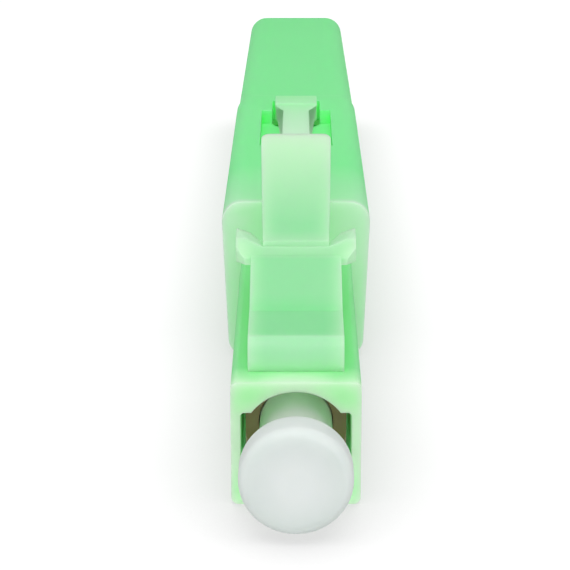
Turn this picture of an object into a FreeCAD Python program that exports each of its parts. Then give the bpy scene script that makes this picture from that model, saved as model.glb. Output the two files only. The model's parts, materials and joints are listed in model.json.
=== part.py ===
import FreeCAD, Part
import math
import os

# LC fibre connector for fitting in the field: a square nose with a latch arm, a box-shaped rear body
# that holds a mechanical splice, and a tail boot over the cable clamp.
#
# Construction frame, in millimetres: +Y runs back along the ferrule's axis from the front face of the
# nose, +X is to the side and +Z is up. The last lines move everything to the part's own frame, whose
# origin is the bottom centre of the connector's bounding box.

Vector = FreeCAD.Vector
AXIS = Vector(0, 1, 0)
PLANE_TOLERANCE = 1e-4

# --------------------------------------------------------------------------------------------------
# Driving dimensions
# --------------------------------------------------------------------------------------------------

# nose of the plug housing
nose_width = 4.5
nose_length = 15.0
nose_edge_radius = 0.25
opening_radius = 1.92
opening_shoulder_height = 1.15
opening_corner_radius = 0.15
flange_seat_depth = 6.4
chamber_width = 3.8
chamber_corner_radius = 0.95

# latch: root block on the nose, then an arm that flexes about the root
latch_width = 3.34
latch_root_front = 1.12
latch_root_bulge = 0.19
latch_root_bulge_height = 0.66
latch_height = 1.2
latch_root_lean = 0.24
latch_root_length = 1.43
latch_hinge_setback = 1.83
latch_thickness = 0.9
latch_level_end = 4.1
latch_climb_angle = 21.3
latch_lug_start = 6.95
latch_lug_length = 1.55
latch_lug_span = 4.45
latch_lug_rise = 0.4
latch_lug_ramp = 0.6
latch_lug_ramp_lean = 0.05
latch_lug_crest_rise = 0.13
latch_lug_sweep = 0.35
latch_lug_foot_lift = 0.1
latch_lug_heel_lift = 0.5
latch_lug_tilt = 0.38
latch_bar_end = 7.8
trigger_start = 7.35
trigger_step_height = 0.36
trigger_step_lean = 0.2
trigger_climb_angle = 19.2
trigger_end = 14.45
trigger_front_width = 2.44
trigger_rear_width = 2.78
trigger_thickness = 0.95
trigger_sink = 0.2
trigger_corner_radius = 0.35
latch_edge_radius = 0.12

# ferrule, fibre and holder
ferrule_diameter = 1.249
ferrule_length = 10.5
ferrule_projection = 1.9
ferrule_tip_angle = 8.0
ferrule_chamfer_length = 0.35
ferrule_chamfer_depth = 0.17
fibre_diameter = 0.125
flange_thickness = 1.6
boss_length = 0.5
boss_radius = 1.35
boss_front_radius = 1.15
neck_diameter = 1.7
neck_bore_diameter = 0.6

# spring and its stop
spring_wire_diameter = 0.3
spring_inner_diameter = 2.1
spring_turns = 5.0
spring_steps_per_turn = 16
spring_wire_sides = 6
stop_sleeve_length = 2.4
stop_collar_thickness = 1.0
stop_collar_rise = 2.0
stop_lug_length = 1.1
stop_lug_height = 0.9
stop_lug_setback = 0.55
stop_lug_projection = 0.37
stop_lug_crest_length = 0.3
stop_lug_root_depth = 0.2

# dust cap
cap_head_diameter = 3.84
cap_head_thickness = 1.4
cap_head_gap = 0.2
cap_rim_radius = 0.42
cap_back_bevel = 0.2
cap_crown = 0.06
cap_tube_front_diameter = 2.58
cap_tube_rear_diameter = 2.54
cap_tube_end = 5.0
cap_end_wall = 0.4

# splice
splice_width = 3.3
splice_gap = 0.3
splice_floor = 1.38
splice_roof = 1.35
splice_front_block = 1.5
splice_rear_block = 1.0
cover_lengths = {"front": 3.3, "middle": 3.1, "rear": 3.9}
cover_gap = 0.1
cover_chamfer = 0.2
clip_inset = 0.35
clip_thickness = 0.25
clip_slot_width = 1.9
clip_bend_radius = 0.22
groove_spare_depth = 0.02

# fibre guide
guide_diameter = 2.0
guide_length = 3.1
guide_spigot_diameter = 1.1
guide_mouth_diameter = 1.6
guide_throat_diameter = 0.3
guide_throat_length = 0.3

# rear body
body_length = 19.4
body_top = 4.45
body_front_top_width = 6.14
body_front_foot_width = 5.54
body_rear_top_width = 5.94
body_rear_foot_width = 5.36
body_top_edge_radius = 0.9
body_foot_edge_radius = 0.75
body_rim_radius = 0.35
body_front_wall = 1.0
body_floor = 0.8
body_roof = 0.95
body_room_width = 4.3

# press tongue in the roof of the rear body
tongue_root_setback = 10.0
tongue_recess = 0.25
tongue_thickness = 0.7
tongue_width = 1.3
tongue_slot_width = 1.0
tongue_pad_setback = 3.2
tongue_pad_length = 2.0
tongue_pad_width = 2.0
tongue_pad_rise = 0.35
tongue_pad_thickness = 0.8
tongue_pad_front_drop = 0.08
tongue_pad_front_run = 0.15
tongue_pad_back_drop = 0.2
tongue_pad_back_run = 0.25
tongue_flare_length = 0.8
tongue_flare_overrun = 0.3
tongue_prong_setback = 6.8
tongue_prong_length = 0.7
tongue_prong_width = 0.8
tongue_prong_gap = 0.35

# tail boot
boot_length = 22.6
boot_inset = 0.1
boot_lift = 0.06
boot_taper = 0.28
boot_top_drop = 0.15
boot_foot_rise = 0.2
boot_top_edge_radius = 1.0
boot_foot_edge_radius = 0.8
boot_end_radius = 0.7
boot_end_wall = 4.5
boot_room_edge_radius = 0.4
boot_headroom = 0.3
cheek_length = 2.2
cheek_thickness = 0.28
cheek_root_depth = 0.4
cheek_low = -0.9
cheek_high = 2.6

# cable clamp
cable_diameter = 3.0
cable_axis_height = 0.5
clamp_length = 12.3
clamp_width = 4.0
clamp_setback = 3.8
clamp_top = 2.9
clamp_tooth_pitch = 1.2
clamp_tooth_length = 0.8
clamp_tooth_height = 0.15
clamp_edge_radius = 0.4
foot_overlap = 0.5
foot_reach = 2.6
foot_width = 2.6
foot_thickness = 0.35

# clearances
moulding_clearance = 0.05
running_clearance = 0.06
ferrule_clearance = 0.02
hinge_clearance = 0.03
bore_clearance = 0.01
seat_clearance = 0.07
pad_clearance = 0.15
pad_front_gap = 0.1
clamp_clearance = 0.1

# how far a cutting shape runs past the face that it opens
cut_past = 1.0

# --------------------------------------------------------------------------------------------------
# Places that follow from the driving dimensions
# --------------------------------------------------------------------------------------------------

nose_half = nose_width / 2
ferrule_radius = ferrule_diameter / 2
fibre_radius = fibre_diameter / 2
neck_radius = neck_diameter / 2

flange_back = flange_seat_depth + flange_thickness
stop_front = nose_length - stop_sleeve_length
body_front = nose_length
body_back = body_front + body_length
boot_back = body_back + boot_length
tongue_root = body_back - tongue_root_setback
tongue_pad_start = body_back - tongue_pad_setback
tongue_slot_end = tongue_pad_start + pad_front_gap
clamp_start = body_back + clamp_setback
foot_start = body_back - foot_reach
room_front = body_front + body_front_wall
stop_back = room_front + stop_collar_thickness
room_floor = body_floor - nose_half
room_roof = body_top - body_roof

splice_front = stop_back + splice_gap
cover_start = splice_front + splice_front_block
splice_zone = sum(cover_lengths.values()) + cover_gap * (len(cover_lengths) + 1)
cover_end = cover_start + splice_zone
splice_back = cover_end + splice_rear_block
neck_end = cover_start
fibre_end = cover_start + cover_lengths["front"] + 2 * cover_gap + cover_lengths["middle"] / 2

latch_top = nose_half + latch_height
latch_hinge_y = latch_root_front + latch_hinge_setback
latch_hinge_z = latch_top - latch_thickness / 2
cap_head_back = -ferrule_projection - cap_head_gap
cap_head_front = cap_head_back - cap_head_thickness

boot_room_half = clamp_width / 2 + clamp_clearance
cable_bore_radius = cable_diameter / 2 + clamp_clearance
channel_half = cable_diameter / 2 + moulding_clearance

# --------------------------------------------------------------------------------------------------
# Building blocks
# --------------------------------------------------------------------------------------------------


def block(half_width, y_low, y_high, z_low, z_high, x_centre=0.0):
    """A box that is symmetric about x_centre."""
    corner = Vector(x_centre - half_width, y_low, z_low)
    return Part.makeBox(2 * half_width, y_high - y_low, z_high - z_low, corner)


def rod(radius, y_low, y_high, z=0.0):
    """A cylinder along the ferrule's direction."""
    return Part.makeCylinder(radius, y_high - y_low, Vector(0, y_low, z), AXIS)


def pin_across(radius, half_width, y, z):
    """A cylinder across the connector, along X."""
    return Part.makeCylinder(radius, 2 * half_width, Vector(-half_width, y, z), Vector(1, 0, 0))


def side_profile(points, half_width):
    """Extrude a closed outline of (y, z) points across the connector."""
    corners = [Vector(-half_width, y, z) for y, z in points]
    outline = Part.makePolygon(corners + corners[:1])
    return Part.Face(outline).extrude(Vector(2 * half_width, 0, 0))


def plan_profile(points, z_low, z_high):
    """Extrude a closed outline of (x, y) points upwards."""
    corners = [Vector(x, y, z_low) for x, y in points]
    outline = Part.makePolygon(corners + corners[:1])
    return Part.Face(outline).extrude(Vector(0, 0, z_high - z_low))


def front_profile(points, y_low, y_high):
    """Extrude a closed outline of (x, z) points along the connector."""
    corners = [Vector(x, y_low, z) for x, z in points]
    outline = Part.makePolygon(corners + corners[:1])
    return Part.Face(outline).extrude(Vector(0, y_high - y_low, 0))


def mirrored_plan(right_side):
    """Close an outline from the points of its right-hand side: (x, y), or (x, z) as seen from the front."""
    left_side = [(-x, y) for x, y in reversed(right_side)]
    return right_side + left_side


def turned(points):
    """Revolve a closed outline of (radius, y) points about the ferrule's axis."""
    corners = [Vector(radius, y, 0) for radius, y in points]
    outline = Part.makePolygon(corners + corners[:1])
    return Part.Face(outline).revolve(Vector(0, 0, 0), AXIS, 360)


def trapezium(y, top_width, foot_width, z_low, z_high):
    """A closed four-sided section across the connector."""
    corners = [
        Vector(-foot_width / 2, y, z_low),
        Vector(foot_width / 2, y, z_low),
        Vector(top_width / 2, y, z_high),
        Vector(-top_width / 2, y, z_high),
    ]
    return Part.makePolygon(corners + corners[:1])


def runs_lengthwise(edge):
    """True for an edge that runs mostly along Y."""
    start, end = edge.Vertexes[0].Point, edge.Vertexes[-1].Point
    span = end.sub(start)
    return span.Length > 0 and abs(span.y) > 0.9 * span.Length


def runs_upwards(edge):
    """True for an edge that runs mostly along Z."""
    start, end = edge.Vertexes[0].Point, edge.Vertexes[-1].Point
    span = end.sub(start)
    return span.Length > 0 and abs(span.z) > 0.8 * span.Length


def lies_at(edge, y):
    """True for an edge that lies wholly in the plane at y."""
    box = edge.BoundBox
    return abs(box.YMin - y) < PLANE_TOLERANCE and abs(box.YMax - y) < PLANE_TOLERANCE


def lies_level(edge, z):
    """True for an edge that lies wholly at the height z."""
    box = edge.BoundBox
    return abs(box.ZMin - z) < PLANE_TOLERANCE and abs(box.ZMax - z) < PLANE_TOLERANCE


def is_long_edge(edge, z):
    """True for an edge along Y at the height z."""
    return runs_lengthwise(edge) and lies_level(edge, z)


def rounded(shape, radius, wanted):
    """Fillet the edges of a shape that a test picks out."""
    edges = [edge for edge in shape.Edges if wanted(edge)]
    return shape.makeFillet(radius, edges)


def rounded_square(half_width, corner_radius, y_low, y_high):
    """A square rod along Y with rounded lengthwise edges."""
    rod_shape = block(half_width, y_low, y_high, -half_width, half_width)
    return rounded(rod_shape, corner_radius, runs_lengthwise)


def trim(shape):
    """Merge faces that lie in one surface, and return the single solid."""
    return shape.removeSplitter().Solids[0]


# --------------------------------------------------------------------------------------------------
# Nose: plug housing and latch
# --------------------------------------------------------------------------------------------------


def nose_opening():
    """The adapter's way in: a round bore, squared off at both sides by a straight-sided band."""
    depth = flange_seat_depth
    bore = rod(opening_radius, -cut_past, depth)
    band = block(opening_radius, -cut_past, depth, -opening_shoulder_height, opening_shoulder_height)
    band = rounded(band, opening_corner_radius, runs_lengthwise)
    return bore.fuse(band)


def latch_root_block():
    """The block that carries the latch arm: a bullnose front, and a socket for the flexing root."""
    half_width = latch_width / 2
    sink = nose_half - nose_edge_radius
    foot = Vector(-half_width, latch_root_front, nose_half)
    bulge_height = nose_half + latch_root_bulge_height
    nose_point = Vector(-half_width, latch_root_front - latch_root_bulge, bulge_height)
    brow = Vector(-half_width, latch_root_front + latch_root_lean, latch_top)
    rear_low = latch_root_front + latch_root_length
    corners = [
        brow,
        Vector(-half_width, latch_hinge_y, latch_top),
        Vector(-half_width, latch_hinge_y, latch_hinge_z),
        Vector(-half_width, rear_low, latch_hinge_z),
        Vector(-half_width, rear_low, sink),
        Vector(-half_width, latch_root_front, sink),
        foot,
    ]
    edges = [Part.Arc(foot, nose_point, brow).toShape()]
    for start, end in zip(corners[:-1], corners[1:]):
        edges.append(Part.LineSegment(start, end).toShape())
    solid = Part.Face(Part.Wire(edges)).extrude(Vector(latch_width, 0, 0))
    socket_radius = latch_thickness / 2 + hinge_clearance
    return solid.cut(pin_across(socket_radius, latch_width, latch_hinge_y, latch_hinge_z))


def plug_housing():
    """The square nose, open in front for the adapter and behind for the spring stop."""
    shell = block(nose_half, 0, nose_length, -nose_half, nose_half)
    shell = rounded(shell, nose_edge_radius, runs_lengthwise)
    shell = shell.fuse(latch_root_block())
    shell = shell.cut(nose_opening())
    chamber_back = nose_length + cut_past
    chamber = rounded_square(chamber_width / 2, chamber_corner_radius, flange_seat_depth, chamber_back)
    shell = shell.cut(chamber)
    window_low = stop_front + stop_lug_setback - moulding_clearance
    window_high = window_low + stop_lug_length + 2 * moulding_clearance
    window_half = stop_lug_height / 2 + moulding_clearance
    shell = shell.cut(block(nose_width, window_low, window_high, -window_half, window_half))
    return trim(shell)


def latch_arm():
    """The arm from its flexing root, over the two catch lugs, to the end of the thumb trigger."""
    climb = math.tan(math.radians(latch_climb_angle))
    step_foot = latch_top + climb * (trigger_start - latch_level_end)
    underside_run = latch_thickness * math.tan(math.radians(latch_climb_angle / 2))
    bar_end_top = latch_top + climb * (latch_bar_end - latch_level_end)
    drop = latch_thickness / math.cos(math.radians(latch_climb_angle))
    bar = side_profile(
        [
            (latch_hinge_y, latch_top),
            (latch_level_end, latch_top),
            (latch_bar_end, bar_end_top),
            (latch_bar_end, bar_end_top - drop),
            (latch_level_end + underside_run, latch_top - latch_thickness),
            (latch_hinge_y, latch_top - latch_thickness),
        ],
        latch_width / 2,
    )
    bar = rounded(bar, latch_edge_radius, lambda edge: runs_lengthwise(edge) and is_bar_top(edge))
    arm = bar.fuse(pin_across(latch_thickness / 2, latch_width / 2, latch_hinge_y, latch_hinge_z))
    arm = arm.fuse(latch_lugs(climb))
    arm = arm.fuse(trigger(step_foot))
    return trim(arm)


def is_bar_top(edge):
    """True for an edge on the latch bar's upper side."""
    climb = math.tan(math.radians(latch_climb_angle))
    middle = edge.CenterOfMass
    surface = latch_top + climb * max(0.0, middle.y - latch_level_end)
    return middle.z > surface - latch_thickness / 2


def latch_lugs(climb):
    """The two catch lugs: ramped in front, square behind, and tilted up towards their tips."""
    start = latch_lug_start
    end = start + latch_lug_length
    top = latch_top + climb * (trigger_start - latch_level_end) + latch_lug_rise
    foot = latch_top + climb * (start - latch_level_end) - latch_thickness
    half = latch_lug_span / 2
    lugs = side_profile(
        [
            (start, foot + latch_lug_foot_lift),
            (start + latch_lug_ramp_lean, top - latch_lug_ramp),
            (start + latch_lug_ramp, top),
            (end, top + latch_lug_crest_rise),
            (end, foot + latch_lug_heel_lift),
        ],
        half,
    )
    plan = mirrored_plan(
        [
            (half - latch_lug_sweep, start),
            (half, start + latch_lug_sweep),
            (half, end),
            (latch_width / 2, end),
            (trigger_front_width / 2, latch_bar_end),
        ]
    )
    lugs = lugs.common(plan_profile(plan, foot, top + cut_past))
    tip_height = top + latch_lug_crest_rise
    slopes = mirrored_plan(
        [
            (half, foot),
            (half, tip_height),
            (trigger_front_width / 2, tip_height - latch_lug_tilt),
        ]
    )
    return lugs.common(front_profile(slopes, start, end))


def trigger(step_foot):
    """The narrow thumb piece that rises to the rear."""
    climb = math.tan(math.radians(trigger_climb_angle))
    crest = trigger_start + trigger_step_lean
    crest_height = step_foot + trigger_step_height
    end_height = crest_height + climb * (trigger_end - crest)
    drop = trigger_thickness / math.cos(math.radians(trigger_climb_angle))
    outline = side_profile(
        [
            (latch_lug_start, step_foot - latch_thickness),
            (latch_lug_start, step_foot - trigger_sink),
            (trigger_start, step_foot),
            (crest, crest_height),
            (trigger_end, end_height),
            (trigger_end, end_height - drop),
            (latch_bar_end, crest_height - drop + climb * (latch_bar_end - crest)),
        ],
        trigger_rear_width,
    )
    half_front = trigger_front_width / 2
    half_rear = trigger_rear_width / 2
    plan = plan_profile(
        mirrored_plan([(half_front, latch_lug_start), (half_rear, trigger_end)]),
        nose_half,
        end_height + cut_past,
    )

    def is_rear_corner(edge):
        return runs_upwards(edge) and lies_at(edge, trigger_end)

    thumb_piece = outline.common(rounded(plan, trigger_corner_radius, is_rear_corner))

    def is_thumb_edge(edge):
        middle = edge.CenterOfMass
        surface = crest_height + climb * (middle.y - crest)
        return middle.y > crest and abs(middle.z - surface) < latch_edge_radius

    return rounded(thumb_piece, latch_edge_radius, is_thumb_edge)


# --------------------------------------------------------------------------------------------------
# Ferrule unit: what floats on the spring
# --------------------------------------------------------------------------------------------------


def tip_cutter():
    """The half-space in front of the angle-polished tip."""
    size = 4 * ferrule_diameter
    cutter = Part.makeBox(size, size, size, Vector(-size / 2, -size, -size / 2))
    cutter.rotate(Vector(0, 0, 0), Vector(1, 0, 0), ferrule_tip_angle)
    cutter.translate(Vector(0, -ferrule_projection, 0))
    return cutter


def ferrule():
    """The ceramic ferrule: a fine bore, a tapered lead-in at the tip and a polished slant."""
    front = -ferrule_projection - ferrule_diameter
    back = ferrule_length - ferrule_projection
    taper_end = -ferrule_projection + ferrule_chamfer_length
    tip_radius = ferrule_radius - ferrule_chamfer_depth
    bore = fibre_radius + bore_clearance
    lead_in = neck_bore_diameter / 2
    outline = [
        (bore, front),
        (tip_radius, front),
        (tip_radius, -ferrule_projection),
        (ferrule_radius, taper_end),
        (ferrule_radius, back),
        (lead_in, back),
        (bore, back - lead_in),
    ]
    return trim(turned(outline).cut(tip_cutter()))


def fibre_stub():
    """The factory fibre, flush with the tip in front and cleaved in the middle of the splice."""
    stub = rod(fibre_radius, -ferrule_projection - ferrule_diameter, fibre_end)
    return trim(stub.cut(tip_cutter()))


def ferrule_holder():
    """The keyed flange that the ferrule is pressed into, with the neck that the spring sits on."""
    flange_half = chamber_width / 2 - seat_clearance
    flange_corner = chamber_corner_radius - seat_clearance
    ferrule_back = ferrule_length - ferrule_projection
    flange = rounded_square(flange_half, flange_corner, flange_seat_depth, flange_back)
    boss_front = flange_seat_depth - boss_length
    boss = Part.makeCone(boss_front_radius, boss_radius, boss_length, Vector(0, boss_front, 0), AXIS)
    holder = flange.fuse(boss)
    holder = holder.fuse(rod(neck_radius, flange_seat_depth, neck_end))
    seat_back = ferrule_back + bore_clearance
    holder = holder.cut(rod(ferrule_radius + bore_clearance, boss_front - cut_past, seat_back))
    holder = holder.cut(rod(neck_bore_diameter / 2, ferrule_back, neck_end + cut_past))
    return trim(holder)


def ferrule_spring():
    """The coil spring between the flange and the spring stop: wire sections lofted round a helix."""
    wire_radius = spring_wire_diameter / 2
    first = flange_back + wire_radius + bore_clearance
    last = stop_front - wire_radius - bore_clearance
    steps = int(spring_turns * spring_steps_per_turn)
    sections = []
    for step in range(steps + 1):
        turn = step / spring_steps_per_turn
        section = wire_section(wire_radius)
        section.rotate(Vector(0, 0, 0), AXIS, 360 * turn)
        section.translate(Vector(0, first + (last - first) * step / steps, 0))
        sections.append(section)
    return Part.makeLoft(sections, True, True)


def wire_section(wire_radius):
    """The spring wire's section, a many-sided outline beside the axis."""
    coil_radius = spring_inner_diameter / 2 + wire_radius
    corners = []
    for side in range(spring_wire_sides):
        angle = 2 * math.pi * (side + 0.5) / spring_wire_sides
        across = coil_radius + wire_radius * math.cos(angle)
        corners.append(Vector(across, wire_radius * math.sin(angle), 0))
    return Part.makePolygon(corners + corners[:1])


def spring_stop():
    """The keyed sleeve that backs the spring and ties the nose to the rear body."""
    sleeve_half = chamber_width / 2 - seat_clearance
    sleeve = rounded_square(sleeve_half, chamber_corner_radius - seat_clearance, stop_front, room_front)
    collar_half = body_room_width / 2 - moulding_clearance
    collar_low = room_floor + moulding_clearance
    collar = block(collar_half, room_front, stop_back, collar_low, stop_collar_rise)
    stop = sleeve.fuse(collar)
    lug_front = stop_front + stop_lug_setback
    lug_back = lug_front + stop_lug_length
    lug_half = stop_lug_height / 2
    lug_reach = sleeve_half + stop_lug_projection
    lug_plan = mirrored_plan(
        [
            (sleeve_half - stop_lug_root_depth, lug_front),
            (lug_reach, lug_back - stop_lug_crest_length),
            (lug_reach, lug_back),
        ]
    )
    stop = stop.fuse(plan_profile(lug_plan, -lug_half, lug_half))
    bore_radius = neck_radius + running_clearance
    stop = stop.cut(rod(bore_radius, stop_front - cut_past, stop_back + cut_past))
    return trim(stop)


# --------------------------------------------------------------------------------------------------
# Splice
# --------------------------------------------------------------------------------------------------


def cover_places():
    """Front and back of each splice cover, in order."""
    places = {}
    front = cover_start + cover_gap
    for name, length in cover_lengths.items():
        places[name] = (front, front + length)
        front += length + cover_gap
    return places


def clip_place(name):
    """Front and back of the clip over a cover."""
    front, back = cover_places()[name]
    return front + clip_inset, back - clip_inset


def splice_base():
    """The cradle with its V-groove: blocks at both ends, and grooves under it for the clips."""
    half = splice_width / 2
    plate = block(half, splice_front, splice_back, -splice_floor, fibre_radius)
    front = block(half, splice_front, cover_start, -splice_floor, splice_roof)
    rear = block(half, cover_end, splice_back, -splice_floor, splice_roof)
    base = plate.fuse([front, rear])
    groove_depth = fibre_radius * (1 + math.sqrt(2)) + groove_spare_depth
    apex = fibre_radius - groove_depth
    groove_front = splice_front - cut_past
    groove_sides = [
        (0, apex),
        (groove_depth, fibre_radius),
        (groove_depth, fibre_radius + groove_depth),
        (-groove_depth, fibre_radius + groove_depth),
        (-groove_depth, fibre_radius),
        (0, apex),
    ]
    groove = Part.makePolygon([Vector(x, groove_front, z) for x, z in groove_sides])
    base = base.cut(Part.Face(groove).extrude(Vector(0, splice_back + cut_past - groove_front, 0)))
    base = base.cut(rod(neck_radius + bore_clearance, groove_front, neck_end))
    spigot_radius = guide_spigot_diameter / 2 + bore_clearance
    base = base.cut(rod(spigot_radius, cover_end, splice_back + cut_past))
    for name in cover_lengths:
        clip_front, clip_back = clip_place(name)
        low = clip_front - moulding_clearance
        high = clip_back + moulding_clearance
        recess = block(splice_width, low, high, -splice_floor - cut_past, clip_seat())
        base = base.cut(recess)
    return trim(base)


def clip_seat():
    """Height of the base's underside where a clip grips it."""
    return clip_thickness + moulding_clearance - splice_floor


def splice_cover(name):
    """One lid of the splice, lying on the base."""
    front, back = cover_places()[name]
    cover = block(splice_width / 2, front, back, fibre_radius, splice_roof)
    edges = [edge for edge in cover.Edges if is_long_edge(edge, splice_roof)]
    return cover.makeChamfer(cover_chamfer, edges)


def splice_clip(name):
    """A steel clip, open below, that pinches the cover on to the base."""
    front, back = clip_place(name)
    inner_half = splice_width / 2
    outer_half = inner_half + clip_thickness
    seat = clip_seat()
    clip = block(outer_half, front, back, seat - clip_thickness, splice_roof + clip_thickness)
    clip = rounded(clip, clip_bend_radius, runs_lengthwise)
    before, behind = front - cut_past, back + cut_past
    clip = clip.cut(block(inner_half, before, behind, seat, splice_roof))
    clip = clip.cut(block(clip_slot_width / 2, before, behind, -splice_floor - cut_past, 0))
    return trim(clip)


def fibre_guide():
    """The funnel that leads the cable's fibre into the V-groove."""
    spigot_front = cover_end + moulding_clearance
    guide_back = splice_back + guide_length
    throat = guide_throat_diameter / 2
    mouth = guide_mouth_diameter / 2
    spigot = guide_spigot_diameter / 2
    body = guide_diameter / 2
    outline = [
        (throat, spigot_front),
        (spigot, spigot_front),
        (spigot, splice_back),
        (body, splice_back),
        (body, guide_back),
        (mouth, guide_back),
        (throat, splice_back + guide_throat_length),
    ]
    return turned(outline)


# --------------------------------------------------------------------------------------------------
# Rear body and press tongue
# --------------------------------------------------------------------------------------------------


def tongue_hinge():
    """Place (y, z) of the axis that the press tongue flexes about."""
    return tongue_root, body_top - tongue_recess - tongue_thickness / 2


def rear_body():
    """The box-shaped body: a wall in front, an open rear, and a slotted roof round the tongue."""
    front = trapezium(body_front, body_front_top_width, body_front_foot_width, -nose_half, body_top)
    back = trapezium(body_back, body_rear_top_width, body_rear_foot_width, -nose_half, body_top)
    shell = Part.makeLoft([front, back], True, True)
    shell = rounded(shell, body_top_edge_radius, lambda edge: is_long_edge(edge, body_top))
    shell = rounded(shell, body_foot_edge_radius, lambda edge: is_long_edge(edge, -nose_half))
    shell = rounded(shell, body_rim_radius, is_front_rim)
    room = block(body_room_width / 2, room_front, body_back + cut_past, room_floor, room_roof)
    shell = shell.cut(room)
    door_front = body_front - cut_past
    doorway = rounded_square(chamber_width / 2, chamber_corner_radius, door_front, room_front + cut_past)
    shell = shell.cut(doorway)
    shell = shell.cut(cheek_pockets())
    shell = shell.cut(tongue_opening())
    return trim(shell)


def is_front_rim(edge):
    """True for the rim of the rear body's front face, apart from its edge on the floor."""
    return lies_at(edge, body_front) and not lies_level(edge, -nose_half)


def cheek_pockets():
    """Shallow pockets in the side walls for the boot's two cheeks."""
    half = boot_room_half + cheek_thickness + moulding_clearance
    front = body_back - cheek_length - moulding_clearance
    low = cheek_low - moulding_clearance
    return block(half, front, body_back + cut_past, low, cheek_high + moulding_clearance)


def tongue_opening():
    """The hole in the roof: wide slots beside the tongue, and a close fit round its pad."""
    slot_half = tongue_width / 2 + tongue_slot_width
    pad_half = tongue_pad_width / 2 + pad_clearance
    pad_end = tongue_pad_start + tongue_pad_length + pad_clearance
    plan = mirrored_plan(
        [
            (slot_half, tongue_root),
            (slot_half, tongue_slot_end),
            (pad_half, tongue_slot_end),
            (pad_half, pad_end),
        ]
    )
    opening = plan_profile(plan, room_roof - cut_past, body_top + cut_past)
    hinge_y, hinge_z = tongue_hinge()
    socket_radius = tongue_thickness / 2 + hinge_clearance
    socket_half = tongue_width / 2 + moulding_clearance
    return opening.fuse(pin_across(socket_radius, socket_half, hinge_y, hinge_z))


def press_tongue():
    """The flexing tongue: a narrow neck, a raised thumb pad, and a prong over the splice."""
    hinge_y, hinge_z = tongue_hinge()
    pad_start = tongue_pad_start
    pad_end = pad_start + tongue_pad_length
    pad_top = body_top + tongue_pad_rise
    neck_top = body_top - tongue_recess
    underside = pad_top - tongue_pad_thickness
    strip = side_profile(
        [
            (hinge_y, neck_top),
            (pad_start, pad_top - tongue_pad_front_drop),
            (pad_start + tongue_pad_front_run, pad_top),
            (pad_end - tongue_pad_back_run, pad_top),
            (pad_end, pad_top - tongue_pad_back_drop),
            (pad_end, underside),
            (pad_start, underside),
            (hinge_y, neck_top - tongue_thickness),
        ],
        tongue_pad_width,
    )
    neck_half = tongue_width / 2
    pad_half = tongue_pad_width / 2
    plan = mirrored_plan(
        [
            (neck_half, hinge_y),
            (neck_half, pad_start - tongue_flare_length),
            (pad_half, pad_start + tongue_flare_overrun),
            (pad_half, pad_end),
        ]
    )
    tongue = strip.common(plan_profile(plan, 0, pad_top + cut_past))
    tongue = tongue.fuse(pin_across(tongue_thickness / 2, neck_half, hinge_y, hinge_z))
    prong_foot = splice_roof + clip_thickness + tongue_prong_gap
    prong_front = body_back - tongue_prong_setback
    prong_back = prong_front + tongue_prong_length
    prong = block(tongue_prong_width / 2, prong_front, prong_back, prong_foot, hinge_z)
    return trim(tongue.fuse(prong))


# --------------------------------------------------------------------------------------------------
# Tail: boot and cable clamp
# --------------------------------------------------------------------------------------------------


def tail_boot():
    """The tapering tail: hollow round the clamp, with two cheeks that push into the rear body."""
    low = boot_lift - nose_half
    high = body_top - boot_lift
    front_top = body_rear_top_width - 2 * boot_inset
    front_foot = body_rear_foot_width - 2 * boot_inset
    front = trapezium(body_back, front_top, front_foot, low, high)
    back = trapezium(
        boot_back,
        front_top - 2 * boot_taper,
        front_foot - 2 * boot_taper,
        low + boot_foot_rise,
        high - boot_top_drop,
    )
    boot = Part.makeLoft([front, back], True, True)
    foot_zone = low + boot_foot_edge_radius
    roof_zone = high - boot_top_edge_radius

    def is_roof_edge(edge):
        return runs_lengthwise(edge) and edge.CenterOfMass.z > roof_zone

    def is_foot_edge(edge):
        return runs_lengthwise(edge) and edge.CenterOfMass.z < foot_zone

    boot = rounded(boot, boot_top_edge_radius, is_roof_edge)
    boot = rounded(boot, boot_foot_edge_radius, is_foot_edge)
    boot = rounded(boot, boot_end_radius, lambda edge: lies_at(edge, boot_back))
    room_back = boot_back - boot_end_wall
    room_low = room_floor - clamp_clearance
    room = block(boot_room_half, body_back - cut_past, room_back, room_low, clamp_top + boot_headroom)
    room = rounded(room, boot_room_edge_radius, runs_lengthwise)
    boot = boot.cut(room)
    boot = boot.cut(rod(cable_bore_radius, room_back - cut_past, boot_back + cut_past, cable_axis_height))
    cheek_front = body_back - cheek_length
    cheek_back = body_back + cheek_root_depth
    for side in (-1, 1):
        middle_x = side * (boot_room_half + cheek_thickness / 2)
        cheek = block(cheek_thickness / 2, cheek_front, cheek_back, cheek_low, cheek_high, middle_x)
        boot = boot.fuse(cheek)
    return trim(boot)


def clamp_teeth(side):
    """Ridges across one half of the clamp, pointing at the cable; side is -1 below it and 1 above."""
    root = cable_axis_height + side * channel_half
    sink = root + side * clamp_tooth_height
    crest_height = root - side * clamp_tooth_height
    back = clamp_start + clamp_length
    count = int((clamp_length - clamp_tooth_length) / clamp_tooth_pitch)
    first = back - clamp_tooth_pitch * count
    ridges = []
    for number in range(count):
        crest = first + number * clamp_tooth_pitch
        sawtooth = [
            (crest - clamp_tooth_length, sink),
            (crest - clamp_tooth_length, root),
            (crest, crest_height),
            (crest, sink),
        ]
        ridges.append(side_profile(sawtooth, channel_half))
    return ridges


def clamp_channel():
    """The cutter for the cable's channel through both halves of the clamp."""
    low = cable_axis_height - channel_half
    high = cable_axis_height + channel_half
    back = clamp_start + clamp_length + cut_past
    return block(channel_half, clamp_start - cut_past, back, low, high)


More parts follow.
